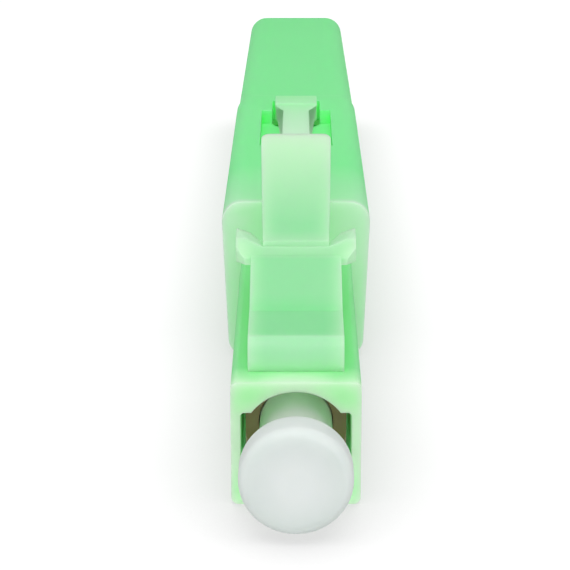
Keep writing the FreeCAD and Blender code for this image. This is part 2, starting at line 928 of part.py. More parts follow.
def clamp_base():
    """The toothed trough under the cable, with a foot on the floor of the rear body."""
    half = clamp_width / 2
    back = clamp_start + clamp_length
    trough = block(half, clamp_start, back, room_floor, cable_axis_height)
    trough = rounded(trough, clamp_edge_radius, lambda edge: is_long_edge(edge, room_floor))
    foot_top = room_floor + foot_thickness
    foot = block(foot_width / 2, foot_start, clamp_start + foot_overlap, room_floor, foot_top)
    return trim(trough.cut(clamp_channel()).fuse(clamp_teeth(-1) + [foot]))


def clamp_lid():
    """The upper half of the clamp, lying on the trough."""
    half = clamp_width / 2
    back = clamp_start + clamp_length
    lid = block(half, clamp_start, back, cable_axis_height, clamp_top)
    lid = rounded(lid, clamp_edge_radius, lambda edge: is_long_edge(edge, clamp_top))
    return trim(lid.cut(clamp_channel()).fuse(clamp_teeth(1)))


# --------------------------------------------------------------------------------------------------
# Dust cap
# --------------------------------------------------------------------------------------------------


def dust_cap():
    """The dust cap: a round head with a soft rim, and a tube that slips over the ferrule."""
    head = cap_head_diameter / 2
    bore = ferrule_radius + ferrule_clearance
    flat = head - cap_rim_radius
    tube_front = cap_tube_front_diameter / 2
    tube_rear = cap_tube_rear_diameter / 2
    bore_end = cap_head_front + cap_crown + cap_end_wall
    diagonal = math.sqrt(0.5)
    rim_centre = cap_head_front + cap_crown + cap_rim_radius
    bevel_front = cap_head_back - cap_back_bevel
    back_flat = head - cap_back_bevel

    def point(radius, y):
        return Vector(radius, y, 0)

    rim = Part.Arc(
        point(flat, cap_head_front + cap_crown),
        point(flat + diagonal * cap_rim_radius, rim_centre - diagonal * cap_rim_radius),
        point(head, rim_centre),
    )
    straight = [
        (point(0, cap_head_front), point(flat, cap_head_front + cap_crown)),
        (point(head, rim_centre), point(head, bevel_front)),
        (point(head, bevel_front), point(back_flat, cap_head_back)),
        (point(back_flat, cap_head_back), point(tube_front, cap_head_back)),
        (point(tube_front, cap_head_back), point(tube_rear, cap_tube_end)),
        (point(tube_rear, cap_tube_end), point(bore, cap_tube_end)),
        (point(bore, cap_tube_end), point(bore, bore_end)),
        (point(bore, bore_end), point(0, bore_end)),
        (point(0, bore_end), point(0, cap_head_front)),
    ]
    edges = [rim.toShape()]
    edges += [Part.LineSegment(start, end).toShape() for start, end in straight]
    outline = Part.Wire(Part.__sortEdges__(edges))
    return Part.Face(outline).revolve(Vector(0, 0, 0), AXIS, 360)


# --------------------------------------------------------------------------------------------------
# Export
# --------------------------------------------------------------------------------------------------

nodes = {
    "dust_cap": dust_cap(),
    "plug_housing": plug_housing(),
    "latch_arm": latch_arm(),
    "ferrule": ferrule(),
    "fibre_stub": fibre_stub(),
    "ferrule_holder": ferrule_holder(),
    "ferrule_spring": ferrule_spring(),
    "spring_stop": spring_stop(),
    "splice_base": splice_base(),
    "fibre_guide": fibre_guide(),
    "rear_body": rear_body(),
    "press_tongue": press_tongue(),
    "tail_boot": tail_boot(),
    "clamp_base": clamp_base(),
    "clamp_lid": clamp_lid(),
}
for place in cover_lengths:
    nodes["splice_cover_" + place] = splice_cover(place)
    nodes["splice_clip_" + place] = splice_clip(place)

to_part_frame = Vector(0, -(cap_head_front + boot_back) / 2, nose_half)
os.makedirs("parts", exist_ok=True)
for name, shape in nodes.items():
    shape.translate(to_part_frame)
    shape.exportStep("parts/" + name + ".step")
    print(name, "valid", shape.isValid(), "solids", len(shape.Solids), "volume", round(shape.Volume, 3))

print("moved by", to_part_frame)
print("latch hinge", Vector(0, latch_hinge_y, latch_hinge_z) + to_part_frame)
print("tongue hinge", Vector(0, *tongue_hinge()) + to_part_frame)
print("cable bore", Vector(0, boot_back, cable_axis_height) + to_part_frame, "radius", cable_bore_radius)
print("spring stop face", stop_front + to_part_frame.y, "nose face", to_part_frame.y)
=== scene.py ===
# %% [markdown]
# # A fibre connector, piece by piece
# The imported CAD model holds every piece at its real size, but it is made of plain facets. In this lesson
# the pieces that show get soft moulded edges, and each material gets the look of the plastic, ceramic or
# steel that it is made of. The connector is only 6 mm wide, so everything is worked out in millimetres.

# %% Load the frame
import json
import math

import bmesh
import bpy
from mathutils import Matrix, Vector

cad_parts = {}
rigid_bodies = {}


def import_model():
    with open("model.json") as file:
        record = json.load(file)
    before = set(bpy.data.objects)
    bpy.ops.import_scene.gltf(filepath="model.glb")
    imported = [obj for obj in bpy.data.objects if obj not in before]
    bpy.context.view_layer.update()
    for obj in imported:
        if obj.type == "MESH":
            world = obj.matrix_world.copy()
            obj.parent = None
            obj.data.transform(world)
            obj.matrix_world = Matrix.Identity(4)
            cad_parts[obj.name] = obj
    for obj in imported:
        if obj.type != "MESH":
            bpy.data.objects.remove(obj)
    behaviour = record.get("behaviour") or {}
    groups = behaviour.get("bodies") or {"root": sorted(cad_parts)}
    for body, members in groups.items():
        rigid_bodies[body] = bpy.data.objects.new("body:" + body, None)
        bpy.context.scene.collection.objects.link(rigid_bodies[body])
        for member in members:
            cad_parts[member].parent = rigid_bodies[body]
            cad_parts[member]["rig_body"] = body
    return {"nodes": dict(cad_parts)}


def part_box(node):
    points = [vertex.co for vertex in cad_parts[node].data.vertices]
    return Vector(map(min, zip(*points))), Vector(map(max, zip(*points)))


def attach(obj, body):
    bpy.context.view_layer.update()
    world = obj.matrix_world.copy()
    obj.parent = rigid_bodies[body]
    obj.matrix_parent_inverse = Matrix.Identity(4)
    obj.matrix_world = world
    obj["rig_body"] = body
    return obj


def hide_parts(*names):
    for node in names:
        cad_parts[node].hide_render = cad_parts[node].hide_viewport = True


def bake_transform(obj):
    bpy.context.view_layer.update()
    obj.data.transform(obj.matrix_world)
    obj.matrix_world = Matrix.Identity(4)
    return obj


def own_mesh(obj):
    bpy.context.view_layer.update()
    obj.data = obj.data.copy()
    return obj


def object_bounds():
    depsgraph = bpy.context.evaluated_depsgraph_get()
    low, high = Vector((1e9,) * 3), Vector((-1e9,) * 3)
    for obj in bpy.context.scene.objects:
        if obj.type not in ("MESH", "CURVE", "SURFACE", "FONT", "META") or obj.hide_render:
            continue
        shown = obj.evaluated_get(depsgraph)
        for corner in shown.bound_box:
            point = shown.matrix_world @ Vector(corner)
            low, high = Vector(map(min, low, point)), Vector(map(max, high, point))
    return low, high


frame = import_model()
cad_low, cad_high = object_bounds()
mm = 0.001
print("the CAD model measures", [round(size / mm, 2) for size in cad_high - cad_low], "mm")

# %% [markdown]
# ## Small tools for shaping
# Nearly every piece here starts as a block or as an outline that is pulled out sideways. A bmesh holds the
# shape while it is worked on, and the last step turns it into an object. The object stays at the origin,
# so that its place is in its mesh, as with the CAD pieces.


# %% From a bmesh to an object
def new_piece(name, shape):
    """Make an object from a bmesh, and free the bmesh."""
    bmesh.ops.recalc_face_normals(shape, faces=shape.faces)
    mesh = bpy.data.meshes.new(name)
    shape.to_mesh(mesh)
    shape.free()
    piece = bpy.data.objects.new(name, mesh)
    bpy.context.scene.collection.objects.link(piece)
    return piece


# %% A block between two corners
def block(low, high):
    """A box as a bmesh."""
    low, high = Vector(low), Vector(high)
    place = Matrix.LocRotScale((low + high) / 2, None, high - low)
    shape = bmesh.new()
    bmesh.ops.create_cube(shape, size=1.0, matrix=place)
    return shape


# %% An outline, pulled out to a solid
def pulled(corners, way):
    """A flat outline of corners, extruded along a way, as a bmesh."""
    shape = bmesh.new()
    face = shape.faces.new([shape.verts.new(corner) for corner in corners])
    found = bmesh.ops.extrude_face_region(shape, geom=[face])["geom"]
    far_side = [corner for corner in found if isinstance(corner, bmesh.types.BMVert)]
    bmesh.ops.translate(shape, vec=way, verts=far_side)
    bmesh.ops.recalc_face_normals(shape, faces=shape.faces)
    return shape


def side_plate(outline, half_width):
    """A piece drawn from the side: (y, z) corners, extruded along X."""
    return pulled([(-half_width, y, z) for y, z in outline], (2 * half_width, 0, 0))


def mirrored(right_side):
    """Close an outline from the corners of its right-hand side."""
    return right_side + [(-x, other) for x, other in reversed(right_side)]


# %% Rounding edges
def edges_along(shape, axis):
    """The edges that run along X (0), Y (1) or Z (2)."""
    found = []
    for edge in shape.edges:
        run = edge.verts[1].co - edge.verts[0].co
        if abs(run[axis]) > 0.9 * run.length:
            found.append(edge)
    return found


def middle_of(edge):
    """The point half way along an edge."""
    return (edge.verts[0].co + edge.verts[1].co) / 2


def round_edges(shape, edges, radius, segments=6):
    """Bevel edges to an arc of about this radius."""
    bmesh.ops.bevel(shape, geom=edges, offset=radius, offset_type="OFFSET", affect="EDGES",
                    segments=segments, profile=0.5, material=-1, clamp_overlap=True)


# %% [markdown]
# ## Cutting and joining
# A moulded shell is easiest to make as the toolmaker thinks of it: a solid outside, minus the cores that
# leave its hollows. The Boolean modifier does that. It is applied at once, and then a narrow bevel on
# every sharp edge gives the small radius that all moulded plastic has. Without it no edge would catch
# the light.


# %% Boolean cuts, applied at once
def settle(piece):
    """Apply a piece's modifiers to its mesh."""
    graph = bpy.context.evaluated_depsgraph_get()
    piece.data = bpy.data.meshes.new_from_object(piece.evaluated_get(graph))
    piece.modifiers.clear()


def combine(piece, shape, operation):
    """Cut a bmesh out of a piece (DIFFERENCE), or join it on (UNION)."""
    tool = new_piece("tool", shape)
    modifier = piece.modifiers.new("combine", "BOOLEAN")
    modifier.operation = operation
    modifier.solver = "EXACT"
    modifier.object = tool
    settle(piece)
    bpy.data.objects.remove(tool)


def reopened(piece):
    """Turn a helper piece back into a bmesh, and remove it."""
    shape = bmesh.new()
    shape.from_mesh(piece.data)
    bpy.data.objects.remove(piece)
    return shape


# %% A small radius on every sharp edge
def soften(piece, radius, segments=3, sharpest=32):
    """Bevel what is sharper than an angle in degrees, and shade the piece smooth."""
    bevel = piece.modifiers.new("edge radius", "BEVEL")
    bevel.width = radius
    bevel.segments = segments
    bevel.limit_method = "ANGLE"
    bevel.angle_limit = math.radians(sharpest)
    bevel.use_clamp_overlap = True
    settle(piece)
    piece.data.shade_smooth()
    even = piece.modifiers.new("even shading", "WEIGHTED_NORMAL")
    even.keep_sharp = True
    settle(piece)
    print(piece.name, "has", len(piece.data.polygons), "faces")


def hold_inside(piece, low, high):
    """Pull any corner that a bevel pushed out back to the CAD piece's own box."""
    for corner in piece.data.vertices:
        for axis in range(3):
            corner.co[axis] = min(max(corner.co[axis], low[axis]), high[axis])


# %% [markdown]
# ## The nose
# The nose is a square plug with a round mouth that is squared off at both sides. The adapter's sleeve goes
# into it. It could be extruded from a drawn front, but it is simpler to start from a block and take out
# the mouth, the chamber behind it and the two catch windows.

# %% The nose's outside
nose_low, nose_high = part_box("plug_housing")
nose_width = nose_high.x - nose_low.x
nose_top = nose_low.z + nose_width
nose_front, nose_back = nose_low.y, nose_high.y
axis_height = nose_low.z + nose_width / 2
nose_edge_radius = 0.25 * mm
nose_rim_radius = 0.06 * mm

shape = block((nose_low.x, nose_front, nose_low.z), (nose_high.x, nose_back, nose_top))
round_edges(shape, edges_along(shape, 1), nose_edge_radius)
nose = new_piece("nose", shape)


# %% A rod and a rounded square bar along the ferrule's axis
def rod(radius, front, back, height=axis_height):
    """A cylinder along Y as a bmesh."""
    shape = bmesh.new()
    place = Matrix.LocRotScale(Vector((0, (front + back) / 2, height)), None, None)
    turn = Matrix.Rotation(math.radians(90), 4, "X")
    bmesh.ops.create_cone(shape, cap_ends=True, segments=96, radius1=radius, radius2=radius,
                          depth=back - front, matrix=place @ turn)
    return shape


def square_bar(half_width, half_height, corner_radius, front, back):
    """A bar along Y with rounded lengthwise edges, as a bmesh."""
    shape = block((-half_width, front, axis_height - half_height),
                  (half_width, back, axis_height + half_height))
    round_edges(shape, edges_along(shape, 1), corner_radius)
    return shape


# %% The mouth, the chamber and the catch windows
past = 1.0 * mm  # how far a cutting shape reaches past the surface that it cuts
mouth_radius = 1.92 * mm
mouth_shoulder = 1.15 * mm
mouth_corner = 0.15 * mm
mouth_depth = 6.4 * mm
chamber_half = 1.9 * mm
chamber_corner = 0.95 * mm
window_half_height = 0.5 * mm
window_length = 1.2 * mm
window_setback = 0.7 * mm
seat = nose_front + mouth_depth

combine(nose, rod(mouth_radius, nose_front - past, seat), "DIFFERENCE")
combine(nose, square_bar(mouth_radius, mouth_shoulder, mouth_corner, nose_front - past, seat), "DIFFERENCE")
combine(nose, square_bar(chamber_half, chamber_half, chamber_corner, seat, nose_back + past), "DIFFERENCE")
window_back = nose_back - window_setback
window = block((-nose_width, window_back - window_length, axis_height - window_half_height),
               (nose_width, window_back, axis_height + window_half_height))
combine(nose, window, "DIFFERENCE")
soften(nose, nose_rim_radius, 2)
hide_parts("plug_housing")
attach(nose, "connector")

# %% [markdown]
# ## The latch
# The latch grows out of the nose: a bullnose root, a level stretch, a climbing arm with two catch lugs, and
# a narrower thumb piece. On the real part it is one moulding, so here it is one mesh as well. A side view
# gives its form, and it gets extra rings of edges where the real plastic bends, just behind the root.

# %% The arm's sizes
arm_low, arm_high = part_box("latch_arm")
arm_half = 1.67 * mm
arm_thickness = 0.9 * mm
arm_top = nose_high.z
arm_gap = arm_top - arm_thickness - nose_top
root_front = nose_front + 1.12 * mm
root_back = root_front + 1.43 * mm
root_bulge = 0.24 * mm
root_lean = 0.24 * mm
root_sink = 0.1 * mm
bulge_height, bulge_radius = 0.55, 0.55 * mm
level_end = nose_front + 4.1 * mm
arm_climb = math.tan(math.radians(21.3))
bar_end = nose_front + 7.8 * mm


def arm_height(y):
    """Height of the arm's upper side."""
    return arm_top + arm_climb * max(0.0, y - level_end)


print("the arm climbs", round((arm_height(bar_end) - arm_top) / mm, 2), "mm up to the lugs")

# %% The bar, from its root to the lugs
slope_thickness = arm_thickness / math.cos(math.atan(arm_climb))
underside_start = level_end + 0.17 * mm
bar_outline = [
    (root_front, nose_top - root_sink),
    (root_front - root_bulge, nose_top + bulge_height * (arm_top - nose_top)),
    (root_front + root_lean, arm_top),
    (level_end, arm_top),
    (bar_end, arm_height(bar_end)),
    (bar_end, arm_height(bar_end) - slope_thickness),
    (underside_start, nose_top + arm_gap),
    (root_back, nose_top + arm_gap),
    (root_back, nose_top - root_sink),
]
shape = side_plate(bar_outline, arm_half)
bulge = [edge for edge in edges_along(shape, 0) if middle_of(edge).y < root_front - root_bulge / 2]
round_edges(shape, bulge, bulge_radius, 10)
latch = new_piece("latch", shape)
print("latch bar is", round((bar_end - root_front) / mm, 2), "mm long")

# %% [markdown]
# The lugs hook behind the adapter's catches, so they have a ramp in front and a square back. They tilt up
# towards their tips, like the arms of a Y, and their front corners are swept back. Three outlines give that
# form, one from the side, one from above and one from the front, and the lugs are what all three share.

# %% The lugs' sizes
lug_front = nose_front + 6.95 * mm
lug_back = lug_front + 1.55 * mm
lug_half = (arm_high.x - arm_low.x) / 2
thumb_front = nose_front + 7.35 * mm
lug_top = arm_height(thumb_front) + 0.4 * mm
lug_tip = lug_top + 0.13 * mm
lug_tilt = 0.38 * mm
lug_foot = arm_height(lug_front) - arm_thickness
lug_toe, lug_heel = lug_foot + 0.62 * mm, lug_foot + 0.75 * mm
lug_ramp = 0.6 * mm
lug_sweep = 0.35 * mm
thumb_half_front, thumb_half_back = 1.22 * mm, 1.39 * mm
print("the lugs are", round(2 * lug_half / mm, 2), "mm across")

# %% The catch lugs, from three outlines
lug_outline = [
    (lug_front, lug_toe),
    (lug_front + 0.05 * mm, lug_top - lug_ramp),
    (lug_front + lug_ramp, lug_top),
    (lug_back, lug_tip),
    (lug_back, lug_heel),
]
from_above = mirrored([
    (lug_half - lug_sweep, lug_front),
    (lug_half, lug_front + lug_sweep),
    (lug_half, lug_back),
    (arm_half, lug_back),
    (thumb_half_front, bar_end),
])
from_front = mirrored([(lug_half, lug_foot), (lug_half, lug_tip), (thumb_half_front, lug_tip - lug_tilt)])
lug_reach = 4 * mm  # longer than the lugs in any direction
lugs = new_piece("lugs", side_plate(lug_outline, lug_half))
combine(lugs, pulled([(x, y, lug_foot - past) for x, y in from_above], (0, 0, lug_reach)), "INTERSECT")
combine(lugs, pulled([(x, lug_front - past, z) for x, z in from_front], (0, lug_reach, 0)), "INTERSECT")
combine(latch, reopened(lugs), "UNION")

# %% [markdown]
# The thumb piece starts with a step, climbs a little less steeply than the arm and widens to the rear. Its
# rear corners are rounded in plan before the small edge radius goes on.

# %% The thumb piece
thumb_crest = thumb_front + 0.2 * mm
thumb_back = arm_high.y
thumb_top = arm_high.z
thumb_climb = math.tan(math.radians(19.2))
crest_height = thumb_top - thumb_climb * (thumb_back - thumb_crest)
thumb_thickness = 0.95 * mm
thumb_drop = thumb_thickness / math.cos(math.atan(thumb_climb))
thumb_corner_radius = 0.35 * mm
thumb_outline = [
    (lug_front, arm_height(thumb_front) - arm_thickness),
    (lug_front, arm_height(thumb_front) - 0.2 * mm),
    (thumb_front, arm_height(thumb_front)),
    (thumb_crest, crest_height),
    (thumb_back, thumb_top),
    (thumb_back, thumb_top - thumb_drop),
    (bar_end, crest_height - thumb_drop + thumb_climb * (bar_end - thumb_crest)),
]
shape = side_plate(thumb_outline, thumb_half_back)
for corner in shape.verts:
    share = (corner.co.y - lug_front) / (thumb_back - lug_front)
    corner.co.x *= (thumb_half_front + share * (thumb_half_back - thumb_half_front)) / thumb_half_back
rear_corners = [edge for edge in edges_along(shape, 2) if middle_of(edge).y > thumb_back - 0.1 * mm]
round_edges(shape, rear_corners, thumb_corner_radius)
combine(latch, shape, "UNION")
print("thumb piece is", round((thumb_back - thumb_front) / mm, 2), "mm long")

# %% [markdown]
# The cuts come before the edges are rounded, because cuts through a rounded edge would leave marks in
# the shading.

# %% Where the arm bends
bend_start, bend_end = nose_front + 2.4 * mm, nose_front + 3.5 * mm
rings_in_bend = 7
latch_edge_radius = 0.11 * mm


def cut_across(piece, start, end, count):
    """Add rings of edges across a piece at even steps along Y."""
    shape = bmesh.new()
    shape.from_mesh(piece.data)
    for step in range(count):
        place = start + (end - start) * step / (count - 1)
        everything = shape.verts[:] + shape.edges[:] + shape.faces[:]
        bmesh.ops.bisect_plane(shape, geom=everything, plane_co=(0, place, 0), plane_no=(0, 1, 0))
    shape.to_mesh(piece.data)
    shape.free()


cut_across(latch, bend_start, bend_end, rings_in_bend)
soften(latch, latch_edge_radius, 4, 20)
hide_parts("latch_arm")
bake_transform(latch)

# %% [markdown]
# ## The rear body
# Behind the nose sits a box with leaning sides, wider at the top than at the foot and narrower to the
# rear. It could be a cube with its corners moved, but a ring of four corners at each end, bridged along the
# sides, says the same in four half widths. The long edges are rounded first and the front rim after them,
# so that the rim's rounding runs round the corners too.


# %% A block with leaning sides
def leaning_block(front, back, low, high, front_halves, back_halves):
    """A block along Y whose top and foot have their own half widths at each end."""
    shape = bmesh.new()
    ends = []
    for y, (top_half, foot_half) in ((front, front_halves), (back, back_halves)):
        corners = [(-foot_half, low), (foot_half, low), (top_half, high), (-top_half, high)]
        ring = [shape.verts.new((x, y, z)) for x, z in corners]
        ends.append(shape.faces.new(ring))
    bmesh.ops.bridge_loops(shape, edges=shape.edges[:])
    bmesh.ops.recalc_face_normals(shape, faces=shape.faces)
    return shape


def round_long_edges(shape, foot, upper_radius, lower_radius):
    """Round the long edges of a leaning block, the lower pair up to a foot's height."""
    upper = [edge for edge in edges_along(shape, 1) if middle_of(edge).z > axis_height]
    round_edges(shape, upper, upper_radius, 10)
    lower = [edge for edge in edges_along(shape, 1) if middle_of(edge).z < foot]
    round_edges(shape, lower, lower_radius, 8)


# %% The rear body's outside
body_low, body_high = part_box("rear_body")
body_front_halves = (3.066 * mm, 2.77 * mm)
body_back_halves = (2.97 * mm, 2.68 * mm)
body_rim_radius = 0.35 * mm
tolerance = 0.01 * mm  # near enough to lie on the same plane

shape = leaning_block(body_low.y, body_high.y, body_low.z, body_high.z, body_front_halves, body_back_halves)
round_long_edges(shape, body_low.z + 0.1 * mm, 0.9 * mm, 0.75 * mm)
rim = []
for edge in shape.edges:
    at_front = all(corner.co.y < body_low.y + tolerance for corner in edge.verts)
    if at_front and middle_of(edge).z > body_low.z + tolerance:
        rim.append(edge)
round_edges(shape, rim, body_rim_radius, 6)
rear_body = new_piece("rear_shell", shape)

# %% [markdown]
# Inside is a room for the splice, open to the rear for the boot's cheeks. The roof has a T-shaped opening
# round the press tongue: two wide slots beside its neck, and a close fit round its pad. A thin web of the
# same green plastic closes each slot at the bottom and follows the tongue's outline with a narrow gap.

# %% The room, the doorway and the pockets
boot_low, boot_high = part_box("tail_boot")
room_front = body_low.y + 1.0 * mm
room_half = 2.15 * mm
room_floor, room_roof = body_low.z + 0.8 * mm, body_high.z - 0.95 * mm
pocket_half = 2.43 * mm
cheek_low, cheek_high = axis_height - 0.9 * mm, axis_height + 2.6 * mm
cheek_gap = 0.05 * mm

room = block((-room_half, room_front, room_floor), (room_half, body_high.y + past, room_roof))
doorway = square_bar(chamber_half, chamber_half, chamber_corner, body_low.y - past, room_front + past)
pockets = block((-pocket_half, boot_low.y - cheek_gap, cheek_low - cheek_gap),
                (pocket_half, body_high.y + past, cheek_high + cheek_gap))
for hollow in (room, doorway, pockets):
    combine(rear_body, hollow, "DIFFERENCE")
print("the splice's room is", round((room_roof - room_floor) / mm, 2), "mm high")

# %% The opening in the roof
tongue_low, tongue_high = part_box("press_tongue")
tongue_root = body_high.y - 10.0 * mm
pad_front, pad_back = tongue_high.y - 2.0 * mm, tongue_high.y
slot_half = 1.65 * mm
slot_end = pad_front + 0.1 * mm
pad_half = (tongue_high.x - tongue_low.x) / 2
pad_gap = 0.15 * mm
pad_hole_half = pad_half + pad_gap
roof_cut_low = room_roof - past
roof_cut_high = body_high.z + past

slots = block((-slot_half, tongue_root, roof_cut_low), (slot_half, slot_end, roof_cut_high))
pad_hole = block((-pad_hole_half, slot_end - past, roof_cut_low),
                 (pad_hole_half, pad_back + pad_gap, roof_cut_high))
for opening in (slots, pad_hole):
    combine(rear_body, opening, "DIFFERENCE")

# %% The webs under the slots
flare_length = 0.8 * mm
web_overlap = 0.1 * mm
web_inner, web_outer = 0.75 * mm, slot_half + web_overlap
web_front, web_back = tongue_root - web_overlap, slot_end + web_overlap
web_sink, web_thickness = 0.05 * mm, 0.35 * mm
web_outline = [
    (web_inner, web_front),
    (web_inner, pad_front - flare_length),
    (pad_hole_half, pad_front),
    (pad_hole_half, web_back),
    (web_outer, web_back),
    (web_outer, web_front),
]
for side in (-1, 1):
    corners = [(side * x, y, room_roof - web_sink) for x, y in web_outline]
    combine(rear_body, pulled(corners, (0, 0, web_thickness)), "UNION")
soften(rear_body, 0.07 * mm, 3)
hold_inside(rear_body, body_low, body_high)
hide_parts("rear_body")
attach(rear_body, "connector")

# %% [markdown]
# ## The press tongue
# A narrow tongue of roof is left free on three sides. Pressing its raised pad bends it down onto the
# splice. It is drawn from the side, and then its neck is narrowed in plan, so that it flares to the pad.

# %% The tongue
neck_half = 0.65 * mm
neck_top = body_high.z - 0.25 * mm
neck_thickness = 0.7 * mm
pad_top = tongue_high.z
pad_underside = pad_top - 0.8 * mm
root_embed = 0.35 * mm
tongue_outline = [
    (tongue_root - root_embed, neck_top),
    (pad_front - flare_length, pad_top - 0.16 * mm),
    (pad_front, pad_top - 0.08 * mm),
    (pad_front + 0.15 * mm, pad_top),
    (pad_back - 0.25 * mm, pad_top),
    (pad_back, pad_top - 0.2 * mm),
    (pad_back, pad_underside),
    (pad_front, pad_underside),
    (pad_front - flare_length, pad_underside - 0.02 * mm),
    (tongue_root - root_embed, neck_top - neck_thickness),
]
shape = side_plate(tongue_outline, pad_half)
for corner in shape.verts:
    if corner.co.y < pad_front - flare_length / 2:
        corner.co.x *= neck_half / pad_half
tongue = new_piece("tongue", shape)

# %% The tongue's prong, and where it bends
prong_half, prong_length = 0.4 * mm, 0.7 * mm
prong_front = body_high.y - 6.8 * mm
prong = block((-prong_half, prong_front, tongue_low.z),
              (prong_half, prong_front + prong_length, neck_top - 0.2 * mm))
combine(tongue, prong, "UNION")
cut_across(tongue, tongue_root - 0.3 * mm, tongue_root + 0.9 * mm, rings_in_bend)
soften(tongue, 0.08 * mm, 4, 20)
hold_inside(tongue, tongue_low, tongue_high)
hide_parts("press_tongue")
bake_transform(tongue)

# %% [markdown]
# ## The tail boot
# The boot carries the body's line on to the cable and tapers as it goes. It is a leaning block again, with
# a soft rear end, a room for the clamp and a round bore where the cable comes in.

# %% The boot's outside
boot_front = body_high.y
boot_front_halves = (2.92 * mm, 2.63 * mm)
boot_back_halves = (2.72 * mm, 2.43 * mm)
foot_rise, top_drop = 0.2 * mm, 0.15 * mm
boot_end_radius = 0.7 * mm

shape = leaning_block(boot_front, boot_high.y, boot_low.z, boot_high.z, boot_front_halves, boot_back_halves)
for corner in shape.verts:
    if corner.co.y > boot_high.y - 0.1 * mm:
        corner.co.z += foot_rise if corner.co.z < axis_height else -top_drop
round_long_edges(shape, boot_low.z + 0.3 * mm, 1.0 * mm, 0.8 * mm)
rear_rim = []
for edge in shape.edges:
    if all(corner.co.y > boot_high.y - tolerance for corner in edge.verts):
        rear_rim.append(edge)
round_edges(shape, rear_rim, boot_end_radius, 8)
boot = new_piece("boot", shape)

# %% The boot's room, its bore and its two cheeks
cable_height = axis_height + 0.5 * mm
bore_radius = 1.6 * mm
end_wall = 4.5 * mm
boot_room_half = 2.1 * mm
cheek_outer = 2.38 * mm
cheek_root = 0.4 * mm
side_play = Vector((0.1 * mm, 0, 0))  # the boot's sides may stand this far out of its own CAD box

boot_room = block((-boot_room_half, boot_front - past, body_low.z + 0.7 * mm),
                  (boot_room_half, boot_high.y - end_wall, axis_height + 3.2 * mm))
round_edges(boot_room, edges_along(boot_room, 1), 0.4 * mm)
bore = rod(bore_radius, boot_high.y - end_wall - past, boot_high.y + past, cable_height)
for hollow in (boot_room, bore):
    combine(boot, hollow, "DIFFERENCE")
for side in (-1, 1):
    inner, outer = sorted((side * boot_room_half, side * cheek_outer))
    cheek = block((inner, boot_low.y, cheek_low), (outer, boot_front + cheek_root, cheek_high))
    combine(boot, cheek, "UNION")
soften(boot, 0.08 * mm, 3)
hold_inside(boot, boot_low - side_play, boot_high + side_play)
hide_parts("tail_boot")
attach(boot, "boot")

# %% [markdown]
# ## The dust cap
# The cap is a solid of revolution: a soft-rimmed head on a tube that slips over the ferrule. Its half
# section is drawn once, as corners of radius and depth, and spun about the ferrule's axis. The rims are
# rounded afterwards, where the rings of edges are easy to find.

# %% Turning a half section
same_place, near_ring = 0.0001 * mm, 0.001 * mm


def turned(section, steps=96):
    """Spin (radius, y) corners about the ferrule's axis, as a bmesh."""
    shape = bmesh.new()
    corners = [shape.verts.new((radius, y, axis_height)) for radius, y in section]
    edges = [shape.edges.new(pair) for pair in zip(corners[:-1], corners[1:])]
    bmesh.ops.spin(shape, geom=corners + edges, cent=(0, 0, axis_height), axis=(0, 1, 0),
                   angle=2 * math.pi, steps=steps, use_merge=True)
    bmesh.ops.remove_doubles(shape, verts=shape.verts, dist=same_place)
    bmesh.ops.recalc_face_normals(shape, faces=shape.faces)
    return shape


def ring_edges(shape, radius, y):
    """The edges of a turned shape that lie on one circle."""
    def is_on(corner):
        reach = math.hypot(corner.co.x, corner.co.z - axis_height)
        return abs(reach - radius) < near_ring and abs(corner.co.y - y) < near_ring

    return [edge for edge in shape.edges if is_on(edge.verts[0]) and is_on(edge.verts[1])]


def shade(piece, sharpest):
    """Shade a piece smooth, apart from edges that are sharper than an angle in degrees."""
    piece.data.shade_smooth()
    piece.data.set_sharp_from_angle(angle=math.radians(sharpest))


# %% The cap's half section
cap_low, cap_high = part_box("dust_cap")
head_radius = (cap_high.x - cap_low.x) / 2
head_back = cap_low.y + 1.4 * mm
tube_front_radius, tube_back_radius = 1.29 * mm, 1.27 * mm
cap_bore = 0.645 * mm
bore_end = cap_low.y + 0.46 * mm
crown = 0.10 * mm
face_radius = 1.46 * mm
cap_section = [
    (0, cap_low.y),
    (0.5 * face_radius, cap_low.y),
    (face_radius, cap_low.y),
    (head_radius, cap_low.y + crown),
    (head_radius, head_back),
    (tube_front_radius, head_back),
    (tube_back_radius, cap_high.y),
    (cap_bore, cap_high.y),
    (cap_bore, bore_end),
    (0, bore_end),
]
print("the cap's head is", round(2 * head_radius / mm, 2), "mm across")

# %% The cap, turned and rounded
shape = turned(cap_section)
round_edges(shape, ring_edges(shape, head_radius, cap_low.y + crown), 0.30 * mm, 10)
round_edges(shape, ring_edges(shape, face_radius, cap_low.y), 0.12 * mm, 6)
round_edges(shape, ring_edges(shape, head_radius, head_back), 0.2 * mm, 6)
round_edges(shape, ring_edges(shape, tube_back_radius, cap_high.y), 0.1 * mm, 4)
cap = new_piece("cap", shape)
cap.data.shade_smooth()
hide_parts("dust_cap")
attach(cap, "cap")
print("the cap has", len(cap.data.polygons), "faces")

# %% [markdown]
# ## The ferrule and its fibre
# Under the cap is a ceramic ferrule, ground round to within a micrometre, with a small taper at its tip and
# a face polished at 8 degrees. It is turned like the cap, and `bisect_plane` then takes off the slant. The
# fibre in it is a plain rod of glass, so its CAD piece stays and only gets a material further down.

# %% The ferrule's sizes, and its slanted cut
ferrule_low, ferrule_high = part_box("ferrule")
ferrule_radius = (ferrule_high.x - ferrule_low.x) / 2
fibre_radius = 0.0625 * mm
tip = nose_front - 1.9 * mm
taper_end = tip + 0.35 * mm
tip_radius = ferrule_radius - 0.17 * mm
slant = math.radians(8)
uncut_front = ferrule_low.y - 0.4 * mm
neck_bore = 0.3 * mm


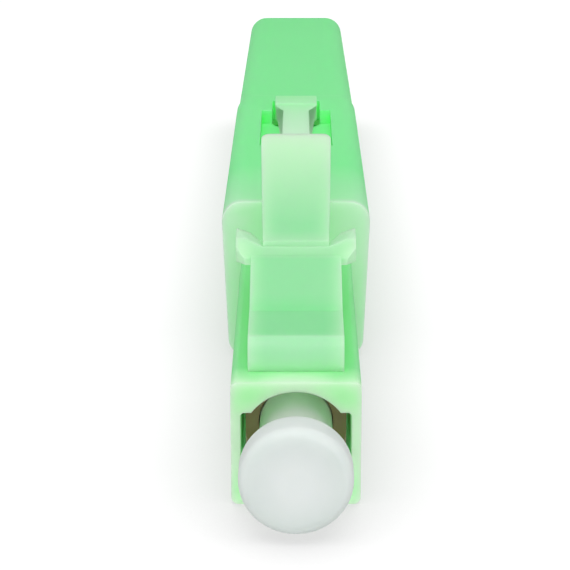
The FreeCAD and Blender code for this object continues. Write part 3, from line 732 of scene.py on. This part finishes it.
def slanted(shape):
    """Take off what lies in front of the polished face, and return the edges of the cut."""
    everything = shape.verts[:] + shape.edges[:] + shape.faces[:]
    normal = (0, -math.cos(slant), -math.sin(slant))
    cut = bmesh.ops.bisect_plane(shape, geom=everything, plane_co=(0, tip, axis_height), plane_no=normal,
                                 clear_outer=True)
    return [edge for edge in cut["geom_cut"] if isinstance(edge, bmesh.types.BMEdge)]


print("the ferrule is", round(2 * ferrule_radius / mm, 3), "mm thick")

# %% The ferrule, turned and cut
ferrule_section = [
    (fibre_radius, uncut_front),
    (tip_radius, uncut_front),
    (tip_radius, tip),
    (ferrule_radius, taper_end),
    (ferrule_radius, ferrule_high.y),
    (neck_bore, ferrule_high.y),
    (fibre_radius, ferrule_high.y - neck_bore),
    (fibre_radius, uncut_front),
]
shape = turned(ferrule_section)
round_edges(shape, ring_edges(shape, ferrule_radius, taper_end), 0.12 * mm, 4)
bmesh.ops.bridge_loops(shape, edges=slanted(shape))
ferrule = new_piece("ceramic_ferrule", shape)
shade(ferrule, 35)
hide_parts("ferrule")
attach(ferrule, "ferrule_unit")
print("the ferrule has", len(ferrule.data.polygons), "faces")

# %% [markdown]
# ## The spring
# A circle of wire, spun about the axis while it also moves along it, leaves a helix behind. `bmesh.ops.spin`
# has a step vector for just that. The spring gets shorter when the ferrule is pushed in.

# %% The spring's wire
spring_low, spring_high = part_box("ferrule_spring")
wire_radius = 0.15 * mm
coil_radius = 1.2 * mm
spring_turns = 5
steps_per_turn = 32
spring_length = spring_high.y - spring_low.y
rise = (spring_length - 2 * wire_radius) / (spring_turns * steps_per_turn)
shape = bmesh.new()
place = Matrix.Translation((coil_radius, spring_low.y + wire_radius, axis_height))
bmesh.ops.create_circle(shape, cap_ends=True, segments=16, radius=wire_radius, matrix=place)
bmesh.ops.spin(shape, geom=shape.verts[:] + shape.edges[:] + shape.faces[:], cent=(0, 0, axis_height),
               axis=(0, 1, 0), dvec=(0, rise, 0), angle=2 * math.pi * spring_turns,
               steps=spring_turns * steps_per_turn)
spring = new_piece("spring", shape)
shade(spring, 50)
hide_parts("ferrule_spring")
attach(spring, "connector")
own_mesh(spring)

# %% [markdown]
# ## The pieces inside
# The splice, its clips, the spring's stop and the cable clamp are prismatic mouldings and bent strip. Their
# CAD meshes have the right form already, so each is copied, its loose triangles are merged back into flat
# faces, and the edges get the small radius that the tool or the bending left.


# %% A softened copy of a CAD piece
def soft_copy(node, name, radius):
    """Copy a CAD piece, merge its triangles, round its edges and let the copy stand for it."""
    shape = bmesh.new()
    shape.from_mesh(frame["nodes"][node].data)
    bmesh.ops.remove_doubles(shape, verts=shape.verts, dist=same_place)
    bmesh.ops.dissolve_limit(shape, angle_limit=math.radians(1), verts=shape.verts, edges=shape.edges)
    body = frame["nodes"][node]["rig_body"]
    piece = new_piece(name, shape)
    soften(piece, radius, 2)
    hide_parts(node)
    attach(piece, body)
    return piece


# %% The clamp, the stop and the splice
clamp_trough = soft_copy("clamp_base", "clamp_trough", 0.04 * mm)
clamp_cover = soft_copy("clamp_lid", "clamp_cover", 0.04 * mm)
stop_sleeve = soft_copy("spring_stop", "stop_sleeve", 0.05 * mm)
splice_cradle = soft_copy("splice_base", "splice_cradle", 0.04 * mm)
splice_lids, splice_springs = [], []
for place in ("front", "middle", "rear"):
    splice_lids.append(soft_copy("splice_cover_" + place, "lid_" + place, 0.05 * mm))
    splice_springs.append(soft_copy("splice_clip_" + place, "clip_" + place, 0.03 * mm))

# %% [markdown]
# The ferrule's holder is a square flange with a round boss in front and a long neck behind. A collar with
# the mouth's own outline runs forward from the flange, round the cap's tube: it is the brown that shows in
# the mouth. The funnel that guides the fibre is a plain turning. Both are made afresh, because their round
# faces show when the connector is opened.

# %% The ferrule's holder
holder_low, holder_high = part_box("ferrule_holder")
flange_half = (holder_high.x - holder_low.x) / 2
flange_back = seat + 1.6 * mm
flange_corner = 0.88 * mm
neck_radius = 0.85 * mm
collar_front, collar_back = nose_front + 2.1 * mm, seat + 0.1 * mm
collar_half, collar_bore = 1.78 * mm, 1.32 * mm
collar_shoulder = mouth_shoulder - 0.05 * mm
boss_tip_radius, boss_radius = 1.15 * mm, 1.35 * mm
boss_back = seat + 0.2 * mm
boss_section = [
    (0, holder_low.y),
    (boss_tip_radius, holder_low.y),
    (boss_radius, seat),
    (boss_radius, boss_back),
    (0, boss_back),
]
holder = new_piece("holder", square_bar(flange_half, flange_half, flange_corner, seat, flange_back))
combine(holder, rod(collar_half, collar_front, collar_back), "UNION")
combine(holder, square_bar(collar_half, collar_shoulder, mouth_corner, collar_front, collar_back), "UNION")
combine(holder, rod(collar_bore, collar_front - past, seat - 0.05 * mm), "DIFFERENCE")
combine(holder, turned(boss_section), "UNION")
combine(holder, rod(neck_radius, seat + 0.5 * mm, holder_high.y), "UNION")
combine(holder, rod(ferrule_radius, holder_low.y - past, ferrule_high.y), "DIFFERENCE")
combine(holder, rod(neck_bore, ferrule_high.y - past, holder_high.y + past), "DIFFERENCE")
soften(holder, 0.06 * mm, 3)
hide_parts("ferrule_holder")
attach(holder, "ferrule_unit")

# %% The fibre's funnel
guide_low, guide_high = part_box("fibre_guide")
guide_radius = (guide_high.x - guide_low.x) / 2
spigot_back = guide_high.y - 3.1 * mm
throat, spigot_radius, funnel_mouth = 0.15 * mm, 0.55 * mm, 0.8 * mm
guide_section = [
    (throat, guide_low.y),
    (spigot_radius, guide_low.y),
    (spigot_radius, spigot_back),
    (guide_radius, spigot_back),
    (guide_radius, guide_high.y),
    (funnel_mouth, guide_high.y),
    (throat, spigot_back + 0.3 * mm),
    (throat, guide_low.y),
]
shape = turned(guide_section, 64)
round_edges(shape, ring_edges(shape, guide_radius, guide_high.y), 0.08 * mm, 3)
funnel = new_piece("funnel", shape)
shade(funnel, 35)
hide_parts("fibre_guide")
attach(funnel, "ferrule_unit")
print("the funnel is", round((guide_high.y - guide_low.y) / mm, 2), "mm long")

# %% [markdown]
# ## Materials
# Each material starts from what the real one is. Patterns read Object coordinates, which are metres in the
# part's own frame, so a pattern of 2 mm has a scale of 1 / (2 mm). Colours are written as sRGB hex codes and
# turned to the linear values that the shader works with.


# %% Helpers for materials
def colour(code):
    """An sRGB hex code as a linear colour."""
    channels = [int(code[start:start + 2], 16) / 255 for start in (0, 2, 4)]
    linear = [value / 12.92 if value <= 0.04045 else ((value + 0.055) / 1.055) ** 2.4 for value in channels]
    return (*linear, 1.0)


def new_material(name):
    """A material and its main shader."""
    material = bpy.data.materials.new(name)
    material.use_nodes = True
    return material, material.node_tree.nodes["Principled BSDF"]


def add(material, kind, inputs, **settings):
    """Add a node with its settings. An input is a value, or another node's output to link."""
    node = material.node_tree.nodes.new(kind)
    for name, value in settings.items():
        setattr(node, name, value)
    connect(material, node, inputs)
    return node


def connect(material, node, inputs):
    """Set a node's inputs, by name or number."""
    for name, value in inputs.items():
        if isinstance(value, bpy.types.NodeSocket):
            material.node_tree.links.new(value, node.inputs[name])
        else:
            node.inputs[name].default_value = value


# %% [markdown]
# ### Green moulded plastic
# The housings are polyester with a little dye, moulded against a fine-blasted tool. Light goes some way in,
# so thin walls and edges look lighter and corners deeper. That is subsurface scattering, strongest for green.
# On top of that, thin walls and edges are painted lighter, a painted glow and edge highlight for the light
# that comes through them: an Ambient Occlusion node that looks inwards finds them, since where it soon meets
# the other side, the wall is thin. The melt's flow leaves cloudy streaks. Along each piece the green is
# painted to other shades, lighter where the light falls and deeper where shade falls, which is painted light
# and shade. The tool leaves a very fine grain that spreads the gloss. A real one is a few hundredths of a
# millimetre wide, and here it is drawn coarser, so that it shows.


# %% Light that passes through
def lets_light_through(material, shader, tint):
    """Let rays on their way to a lamp pass each surface, tinted, so that hollows are lit through walls."""
    path = add(material, "ShaderNodeLightPath", {})
    clear = add(material, "ShaderNodeBsdfTransparent", {"Color": tint})
    either = add(material, "ShaderNodeMixShader",
                 {0: path.outputs["Is Shadow Ray"], 1: shader.outputs[0], 2: clear.outputs[0]})
    connect(material, material.node_tree.nodes["Material Output"], {"Surface": either.outputs[0]})


# %% Painted light and shade along a piece
def green_with_painted_light(material, place, cloud, front_code, turns):
    """Painted light and shade along Y, one turn (start, end, code) after another, and the last turn's share.

    The cloud makes each turn uneven.
    """
    along = add(material, "ShaderNodeSeparateXYZ", {0: place}).outputs["Y"]
    green = colour(front_code)
    for start, end, code in turns:
        turn_share = add(material, "ShaderNodeMapRange", {0: along, 1: start, 2: end}).outputs[0]
        share = add(material, "ShaderNodeMath", {0: turn_share, 1: cloud}, operation="ADD", use_clamp=True)
        green = add(material, "ShaderNodeMix", {0: share.outputs[0], 6: green, 7: colour(code)},
                    data_type="RGBA").outputs[2]
    return green, turn_share


# %% Green polyester
grain_depth = 0.01 * mm


def green_polyester(name, front_code, turns, painted_glow_share, tint):
    """Dyed, moulded polyester, whose colour has light and shade painted in along Y, one turn after another.

    Before the last turn, thin walls and edges are painted lighter by the given share, a painted glow and edge
    highlight. Light on its way to a lamp takes the tint from each surface that it passes.
    """
    material, shader = new_material(name)
    flow_size, grain_size, thick_wall = 3.0 * mm, 0.09 * mm, 0.7 * mm
    painted_glow_green = colour("D2FFD0")
    place = add(material, "ShaderNodeTexCoord", {}).outputs["Object"]
    stretched = add(material, "ShaderNodeMapping", {"Vector": place, "Scale": (1, 0.35, 1)}).outputs[0]
    flow = add(material, "ShaderNodeTexNoise", {"Vector": stretched, "Scale": 1 / flow_size, "Detail": 3})
    grain = add(material, "ShaderNodeTexNoise", {"Vector": place, "Scale": 1 / grain_size, "Detail": 2})
    cloud = add(material, "ShaderNodeMapRange", {0: flow.outputs[0], 3: -0.2, 4: 0.2}).outputs[0]
    # Light and shade painted into the colour along Y.
    green, turn_share = green_with_painted_light(material, place, cloud, front_code, turns)
    depth = add(material, "ShaderNodeAmbientOcclusion", {"Distance": thick_wall}, samples=8, inside=True)
    thin = add(material, "ShaderNodeMapRange", {0: depth.outputs["AO"], 1: 0.95, 2: 0.2, 4: painted_glow_share})
    fading = add(material, "ShaderNodeMapRange", {0: turn_share, 3: 1, 4: 0})
    share = add(material, "ShaderNodeMath", {0: thin.outputs[0], 1: fading.outputs[0]}, operation="MULTIPLY")
    # Painted glow: thin walls and edges are painted lighter, standing in for light that comes through them
    # and for highlights on their edges.
    with_painted_glow = add(material, "ShaderNodeMix", {0: share.outputs[0], 6: green, 7: painted_glow_green}, data_type="RGBA")
    gloss = add(material, "ShaderNodeMapRange", {0: flow.outputs[0], 3: 0.48, 4: 0.60})
    bump = add(material, "ShaderNodeBump",
               {"Height": grain.outputs[0], "Strength": 0.12, "Distance": grain_depth})
    connect(material, shader, {
        "Base Color": with_painted_glow.outputs[2],
        "Roughness": gloss.outputs[0],
        "Normal": bump.outputs[0],
        "IOR": 1.5,
        "Specular IOR Level": 0.02,
        "Subsurface Weight": 0.9,
        "Subsurface Radius": (0.9, 1.0, 0.9),
        "Subsurface Scale": 0.8 * mm,
    })
    lets_light_through(material, shader, tint)
    return material


# %% [markdown]
# The five green pieces differ in shade, and the shades are painted light and shade: the nose is painted light
# at its front, the body light at its front rim and, like the boot, deep green further back, the tongue light,
# and the latch lighter or darker at each of its bends, where its slope turns it to the light or into the
# shade of the thumb piece. Nose and tongue have thin walls, so the light that comes through them is hardly
# tinted, and the thicker walls of the other pieces tint it more deeply.

# %% The shades of the five green pieces
thin_wall_tint, thick_wall_tint = (0.95, 1.0, 0.94, 1), (0.40, 0.86, 0.43, 1)
body_wall_tint = (0.45, 0.94, 0.50, 1)
# Painted light: the nose's front is painted light, going over to deeper green in its first 1.5 mm.
nose_painted_light = (nose_front, nose_front + 1.5 * mm, "84DE90")
nose_green = green_polyester("nose polyester", "ACF3AE", [nose_painted_light], 0.9, thin_wall_tint)
# Painted light and shade on the latch: deeper from the root along the level stretch, lighter up the arm and
# at the lugs, lightest at the thumb's end.
latch_painted_light = [
    (root_front + 0.1 * mm, root_front + 0.5 * mm, "88DF99"),
    (level_end + 0.1 * mm, level_end + 0.9 * mm, "95DEA3"),
    (lug_front - 0.1 * mm, lug_front + 0.2 * mm, "A8DFB0"),
    (thumb_crest, thumb_crest + 0.6 * mm, "95DEA3"),
    (lug_back, thumb_back, "C8F1C8"),
]
latch_green = green_polyester("latch polyester", "A6DEB3", latch_painted_light, 0.6, thick_wall_tint)
# Painted light on the body's front face and rim, then painted shade, deeper green, over its first 6 mm.
rim_end = body_low.y + 0.5 * mm
rear_painted_light = [
    (body_low.y, rim_end, "A2EDB0"),
    (rim_end, body_low.y + 6 * mm, "7EF294"),
]
rear_green = green_polyester("rear polyester", "C6E9CB", rear_painted_light, 0.15, body_wall_tint)
boot_turn = (boot_low.y, boot_high.y, "7CF292")
boot_green = green_polyester("boot polyester", "7EF294", [boot_turn], 0.15, thick_wall_tint)
# Painted light: the tongue is painted light at its root, going over to deeper green towards the back of its
# pad.
tongue_painted_light = (tongue_root, pad_back, "94F9A2")
tongue_green = green_polyester("tongue polyester", "D8FFDC", [tongue_painted_light], 0.2, thin_wall_tint)

# %% [markdown]
# ### Cap polyethylene
# The cap is soft, milky polyethylene: nearly white, with light passing through its thin tube. Its head is
# painted a little greyer towards the rim, a painted shade, and its tube lighter and greener, a painted glow
# of the green light around it in the mouth. Its surface is waxy, so its highlights are broad.

# %% The cap's whites, with painted shade and glow
polyethylene, shader = new_material("milky polyethylene")
cloud_size, grain_size = 1.2 * mm, 0.12 * mm
place = add(polyethylene, "ShaderNodeTexCoord", {}).outputs["Object"]
from_axis = add(polyethylene, "ShaderNodeVectorMath", {0: place, 1: (0, 0, axis_height)},
                operation="SUBTRACT")
across = add(polyethylene, "ShaderNodeVectorMath", {0: from_axis.outputs[0], 1: (1, 0, 1)},
             operation="MULTIPLY")
reach = add(polyethylene, "ShaderNodeVectorMath", {0: across.outputs[0]}, operation="LENGTH")
# Painted shade: the head goes greyer from 0.5 mm out to its rim.
painted_rim_shade = add(polyethylene, "ShaderNodeMapRange", {0: reach.outputs["Value"], 1: 0.5 * mm, 2: 1.6 * mm})
clouds = add(polyethylene, "ShaderNodeTexNoise", {"Vector": place, "Scale": 1 / cloud_size, "Detail": 3})
along = add(polyethylene, "ShaderNodeSeparateXYZ", {0: place}).outputs["Y"]
# Painted glow: the tube is painted lighter and greener, for the green light that reaches it in the mouth.
painted_tube_glow = add(polyethylene, "ShaderNodeMapRange", {0: along, 1: head_back, 2: head_back + 0.2 * mm})
white = colour("E7EBEA")
for share, code in ((painted_rim_shade, "D3DCD8"), (clouds, "E4E9E7"), (painted_tube_glow, "F6FFF6")):
    white = add(polyethylene, "ShaderNodeMix", {0: share.outputs[0], 6: white, 7: colour(code)},
                data_type="RGBA").outputs[2]

# %% Milky polyethylene
grain = add(polyethylene, "ShaderNodeTexNoise", {"Vector": place, "Scale": 1 / grain_size, "Detail": 2})
bump = add(polyethylene, "ShaderNodeBump",
           {"Height": grain.outputs[0], "Strength": 0.1, "Distance": grain_depth})
connect(polyethylene, shader, {
    "Base Color": white,
    "Roughness": 0.5,
    "Normal": bump.outputs[0],
    "IOR": 1.51,
    "Specular IOR Level": 0.15,
    "Subsurface Weight": 1.0,
    "Subsurface Radius": (1.0, 1.0, 0.95),
    "Subsurface Scale": 0.3 * mm,
})
milky_tint = (0.99, 0.99, 0.98, 1)
lets_light_through(polyethylene, shader, milky_tint)

# %% [markdown]
# ### Ceramic and glass
# Zirconia is dense and ivory white, ground and polished, with a high refractive index that gives it its
# hard shine. Very fine grinding lines run round it. They come from a noise that is squeezed along Y, and
# one that is stretched along Y gives the streaks of the metal and the black plastic further down, so one
# function serves all three. The lines are drawn coarser than real ones, so that they show. The fibre is
# clear silica glass.


# %% Finishes with lines or streaks
def lined_finish(name, codes, squeeze, line_size, detail, relief, depth, finish, gloss=()):
    """A material whose colour and relief follow one noise, squeezed along Y by a factor.

    The roughness runs between the two values of gloss, if they are given. finish holds what is the same
    all over the surface.
    """
    material, shader = new_material(name)
    place = add(material, "ShaderNodeTexCoord", {}).outputs["Object"]
    squeezed = add(material, "ShaderNodeMapping", {"Vector": place, "Scale": (1, squeeze, 1)}).outputs[0]
    lines = add(material, "ShaderNodeTexNoise",
                {"Vector": squeezed, "Scale": 1 / line_size, "Detail": detail}).outputs[0]
    base = add(material, "ShaderNodeMix", {0: lines, 6: colour(codes[0]), 7: colour(codes[1])},
               data_type="RGBA").outputs[2]
    bump = add(material, "ShaderNodeBump", {"Height": lines, "Strength": relief, "Distance": depth})
    connect(material, shader, {"Base Color": base, "Normal": bump.outputs[0], **finish})
    if gloss:
        roughness = add(material, "ShaderNodeMapRange", {0: lines, 3: gloss[0], 4: gloss[1]}).outputs[0]
        connect(material, shader, {"Roughness": roughness})
    return material


# %% Zirconia
ground_finish = {
    "Roughness": 0.14, "IOR": 2.1,
    "Subsurface Weight": 0.15, "Subsurface Radius": (1.0, 0.9, 0.8), "Subsurface Scale": 0.2 * mm,
}
zirconia = lined_finish("ground zirconia", ("EDE9DD", "F5F3EC"), squeeze=30, line_size=2.0 * mm, detail=2,
                        relief=0.05, depth=0.005 * mm, finish=ground_finish)

# %% Silica glass
silica, shader = new_material("silica glass")
ripple_size = 0.5 * mm
place = add(silica, "ShaderNodeTexCoord", {}).outputs["Object"]
ripple = add(silica, "ShaderNodeTexNoise", {"Vector": place, "Scale": 1 / ripple_size, "Detail": 1})
clarity = add(silica, "ShaderNodeMapRange", {0: ripple.outputs[0], 3: 0.02, 4: 0.06})
connect(silica, shader, {
    "Base Color": colour("F4FAFF"), "Roughness": clarity.outputs[0], "IOR": 1.46, "Transmission Weight": 0.85,
})

# %% [markdown]
# ### Brown, pale and dark mouldings
# The holder is polyetherimide, which is amber brown by nature. The clamp, the funnel and the spring's stop
# are natural nylon. Both are cloudy and have the tool's fine grain. The splice is a black liquid crystal
# polymer whose flow lines are easy to see.


# %% Mouldings with faint clouds
def cloudy_moulding(name, codes, cloud_size, relief, finish):
    """A moulded plastic whose colour clouds between two codes, with the tool's fine grain."""
    material, shader = new_material(name)
    grain_size = 0.08 * mm
    place = add(material, "ShaderNodeTexCoord", {}).outputs["Object"]
    clouds = add(material, "ShaderNodeTexNoise", {"Vector": place, "Scale": 1 / cloud_size, "Detail": 3})
    grain = add(material, "ShaderNodeTexNoise", {"Vector": place, "Scale": 1 / grain_size, "Detail": 2})
    base = add(material, "ShaderNodeMix", {0: clouds.outputs[0], 6: colour(codes[0]), 7: colour(codes[1])},
               data_type="RGBA").outputs[2]
    bump = add(material, "ShaderNodeBump",
               {"Height": grain.outputs[0], "Strength": relief, "Distance": grain_depth})
    connect(material, shader, {"Base Color": base, "Normal": bump.outputs[0], **finish})
    return material


# %% Polyetherimide and nylon
amber_finish = {
    "Roughness": 0.36, "IOR": 1.66,
    "Subsurface Weight": 0.1, "Subsurface Radius": (1.0, 0.5, 0.2), "Subsurface Scale": 0.3 * mm,
}
nylon_finish = {
    "Roughness": 0.48, "IOR": 1.53,
    "Subsurface Weight": 0.25, "Subsurface Radius": (1.0, 0.95, 0.85), "Subsurface Scale": 0.4 * mm,
}
polyetherimide = cloudy_moulding("amber polyetherimide", ("665635", "756439"), cloud_size=0.9 * mm,
                                 relief=0.15, finish=amber_finish)
natural_nylon = cloudy_moulding("natural nylon", ("D8DAD0", "E6E7E0"), cloud_size=1.5 * mm,
                                relief=0.2, finish=nylon_finish)

# %% Liquid crystal polymer
crystal_polymer = lined_finish("black liquid crystal polymer", ("1B1C1F", "34353A"), squeeze=0.15,
                               line_size=0.3 * mm, detail=4, relief=0.25, depth=grain_depth,
                               finish={"IOR": 1.6}, gloss=(0.42, 0.62))

# %% [markdown]
# ### Spring steel
# The spring is drawn wire and the clips are rolled strip. Both keep fine lines from the die or the rolls,
# so their gloss is stretched along the metal.

# %% Steel wire and strip
spring_steel = lined_finish("rolled spring steel", ("A9A8A5", "C9C8C4"), squeeze=0.05,
                            line_size=0.06 * mm, detail=3, relief=0.2, depth=0.005 * mm,
                            finish={"Metallic": 1.0}, gloss=(0.22, 0.38))

# %% Each piece gets its material
finishes = [
    (nose_green, [nose]),
    (latch_green, [latch]),
    (rear_green, [rear_body]),
    (boot_green, [boot]),
    (tongue_green, [tongue]),
    (polyethylene, [cap]),
    (zirconia, [ferrule]),
    (silica, [frame["nodes"]["fibre_stub"]]),
    (polyetherimide, [holder]),
    (natural_nylon, [clamp_trough, clamp_cover, stop_sleeve, funnel]),
    (crystal_polymer, [splice_cradle, *splice_lids]),
    (spring_steel, [spring, *splice_springs]),
]
for material, pieces in finishes:
    for piece in pieces:
        piece.data.materials.clear()
        piece.data.materials.append(material)
    print(material.name, "on", [piece.name for piece in pieces])

# %% [markdown]
# ## The floor, the light and the camera
# The connector lies on a white surface in very soft light, with hardly a shadow. Large soft lamps stand in
# front, above and at both sides, and there is sky all round. White surroundings would throw too much light
# on the connector, so floor and sky are white only where they are seen, straight, in a reflection or
# through glass. For the rest they light it as a plain pale card and a dim sky do. The floor's soft shadow
# comes from an Ambient Occlusion node: a spot that sees less of the sky is darker.


# %% Where the surroundings are seen
def where_seen(surroundings):
    """1 for a ray that shows the surroundings, straight, in a reflection or through glass, and else 0."""
    path = add(surroundings, "ShaderNodeLightPath", {})
    shown = path.outputs["Is Camera Ray"]
    for ray in ("Is Glossy Ray", "Is Transmission Ray"):
        shown = add(surroundings, "ShaderNodeMath", {0: shown, 1: path.outputs[ray]},
                    operation="MAXIMUM").outputs[0]
    return shown


# %% The floor
floor_reach, shadow_reach = 0.8, 5 * mm
shape = bmesh.new()
bmesh.ops.create_grid(shape, x_segments=1, y_segments=1, size=floor_reach,
                      matrix=Matrix.Translation((0, 0, cad_low.z)))
floor = new_piece("floor", shape)
white_card, shader = new_material("white card")
connect(white_card, shader, {"Base Color": colour("DDDDDD"), "Roughness": 0.9})
open_sky = add(white_card, "ShaderNodeAmbientOcclusion", {"Distance": shadow_reach}, samples=16).outputs["AO"]
strength = add(white_card, "ShaderNodeMapRange", {0: open_sky, 1: 0.35, 2: 0.95, 3: 0.58, 4: 0.93}).outputs[0]
glow = add(white_card, "ShaderNodeEmission", {"Color": (1, 1, 1, 1), "Strength": strength})
faint = add(white_card, "ShaderNodeBsdfDiffuse", {"Color": (0.15, 0.15, 0.15, 1)})
both = add(white_card, "ShaderNodeAddShader", {0: faint.outputs[0], 1: glow.outputs[0]})
seen = add(white_card, "ShaderNodeMixShader",
           {0: where_seen(white_card), 1: shader.outputs[0], 2: both.outputs[0]})
connect(white_card, white_card.node_tree.nodes["Material Output"], {"Surface": seen.outputs[0]})
floor.data.materials.append(white_card)
print("floor at", round(cad_low.z / mm, 3), "mm")

# %% The sky
world = bpy.data.worlds.new("white room")
bpy.context.scene.world = world
world.use_nodes = True
sky_light = 0.25
strength = add(world, "ShaderNodeMapRange", {0: where_seen(world), 3: sky_light, 4: 1.0})
sky = world.node_tree.nodes["Background"]
connect(world, sky, {"Color": (1, 1, 1, 1), "Strength": strength.outputs[0]})
print("the sky lights the connector at a strength of", sky_light)


# %% The lamps
def soft_lamp(name, place, target, size, power):
    """A square area lamp that points at a target."""
    light = bpy.data.lights.new(name, "AREA")
    light.size = size
    light.energy = power
    lamp = bpy.data.objects.new(name, light)
    bpy.context.scene.collection.objects.link(lamp)
    lamp.location = place
    lamp.rotation_euler = (Vector(target) - Vector(place)).to_track_quat("-Z", "Y").to_euler()
    print(name, "of", power, "W at", place)


# places and sizes in metres, powers in watts
centre = (cad_low + cad_high) / 2
soft_lamp("front lamp", (0.0, -0.25, 0.205), centre, 0.20, 0.57)
soft_lamp("top lamp", (0.0, 0.0, 0.40), centre, 0.35, 0.38)
for side in (-1, 1):
    soft_lamp("side lamp", (side * 0.30, -0.12, 0.13), centre, 0.25, 0.19)

# %% [markdown]
# The camera is close and a little above the connector, and looks along it from the front. From there the
# nose is large and the tail small. The long lens keeps the square nose square, and the small shift puts the
# connector a little to the right of the middle.

# %% The camera
camera_data = bpy.data.cameras.new("camera")
camera = bpy.data.objects.new("camera", camera_data)
bpy.context.scene.collection.objects.link(camera)
camera_data.sensor_width = 36
camera_data.lens = 130.2
camera_data.shift_x = -0.0193
camera_data.clip_start = 0.004
distance_in_front = 65.83 * mm
height_over_nose = 24.9 * mm
looks_down = 18
camera.location = (0, nose_front - distance_in_front, nose_top + height_over_nose)
camera.rotation_euler = (math.radians(90 - looks_down), 0, 0)
bpy.context.scene.camera = camera
bpy.context.scene.view_settings.view_transform = "Standard"
print("camera", round(distance_in_front / mm, 1), "mm in front of the nose")
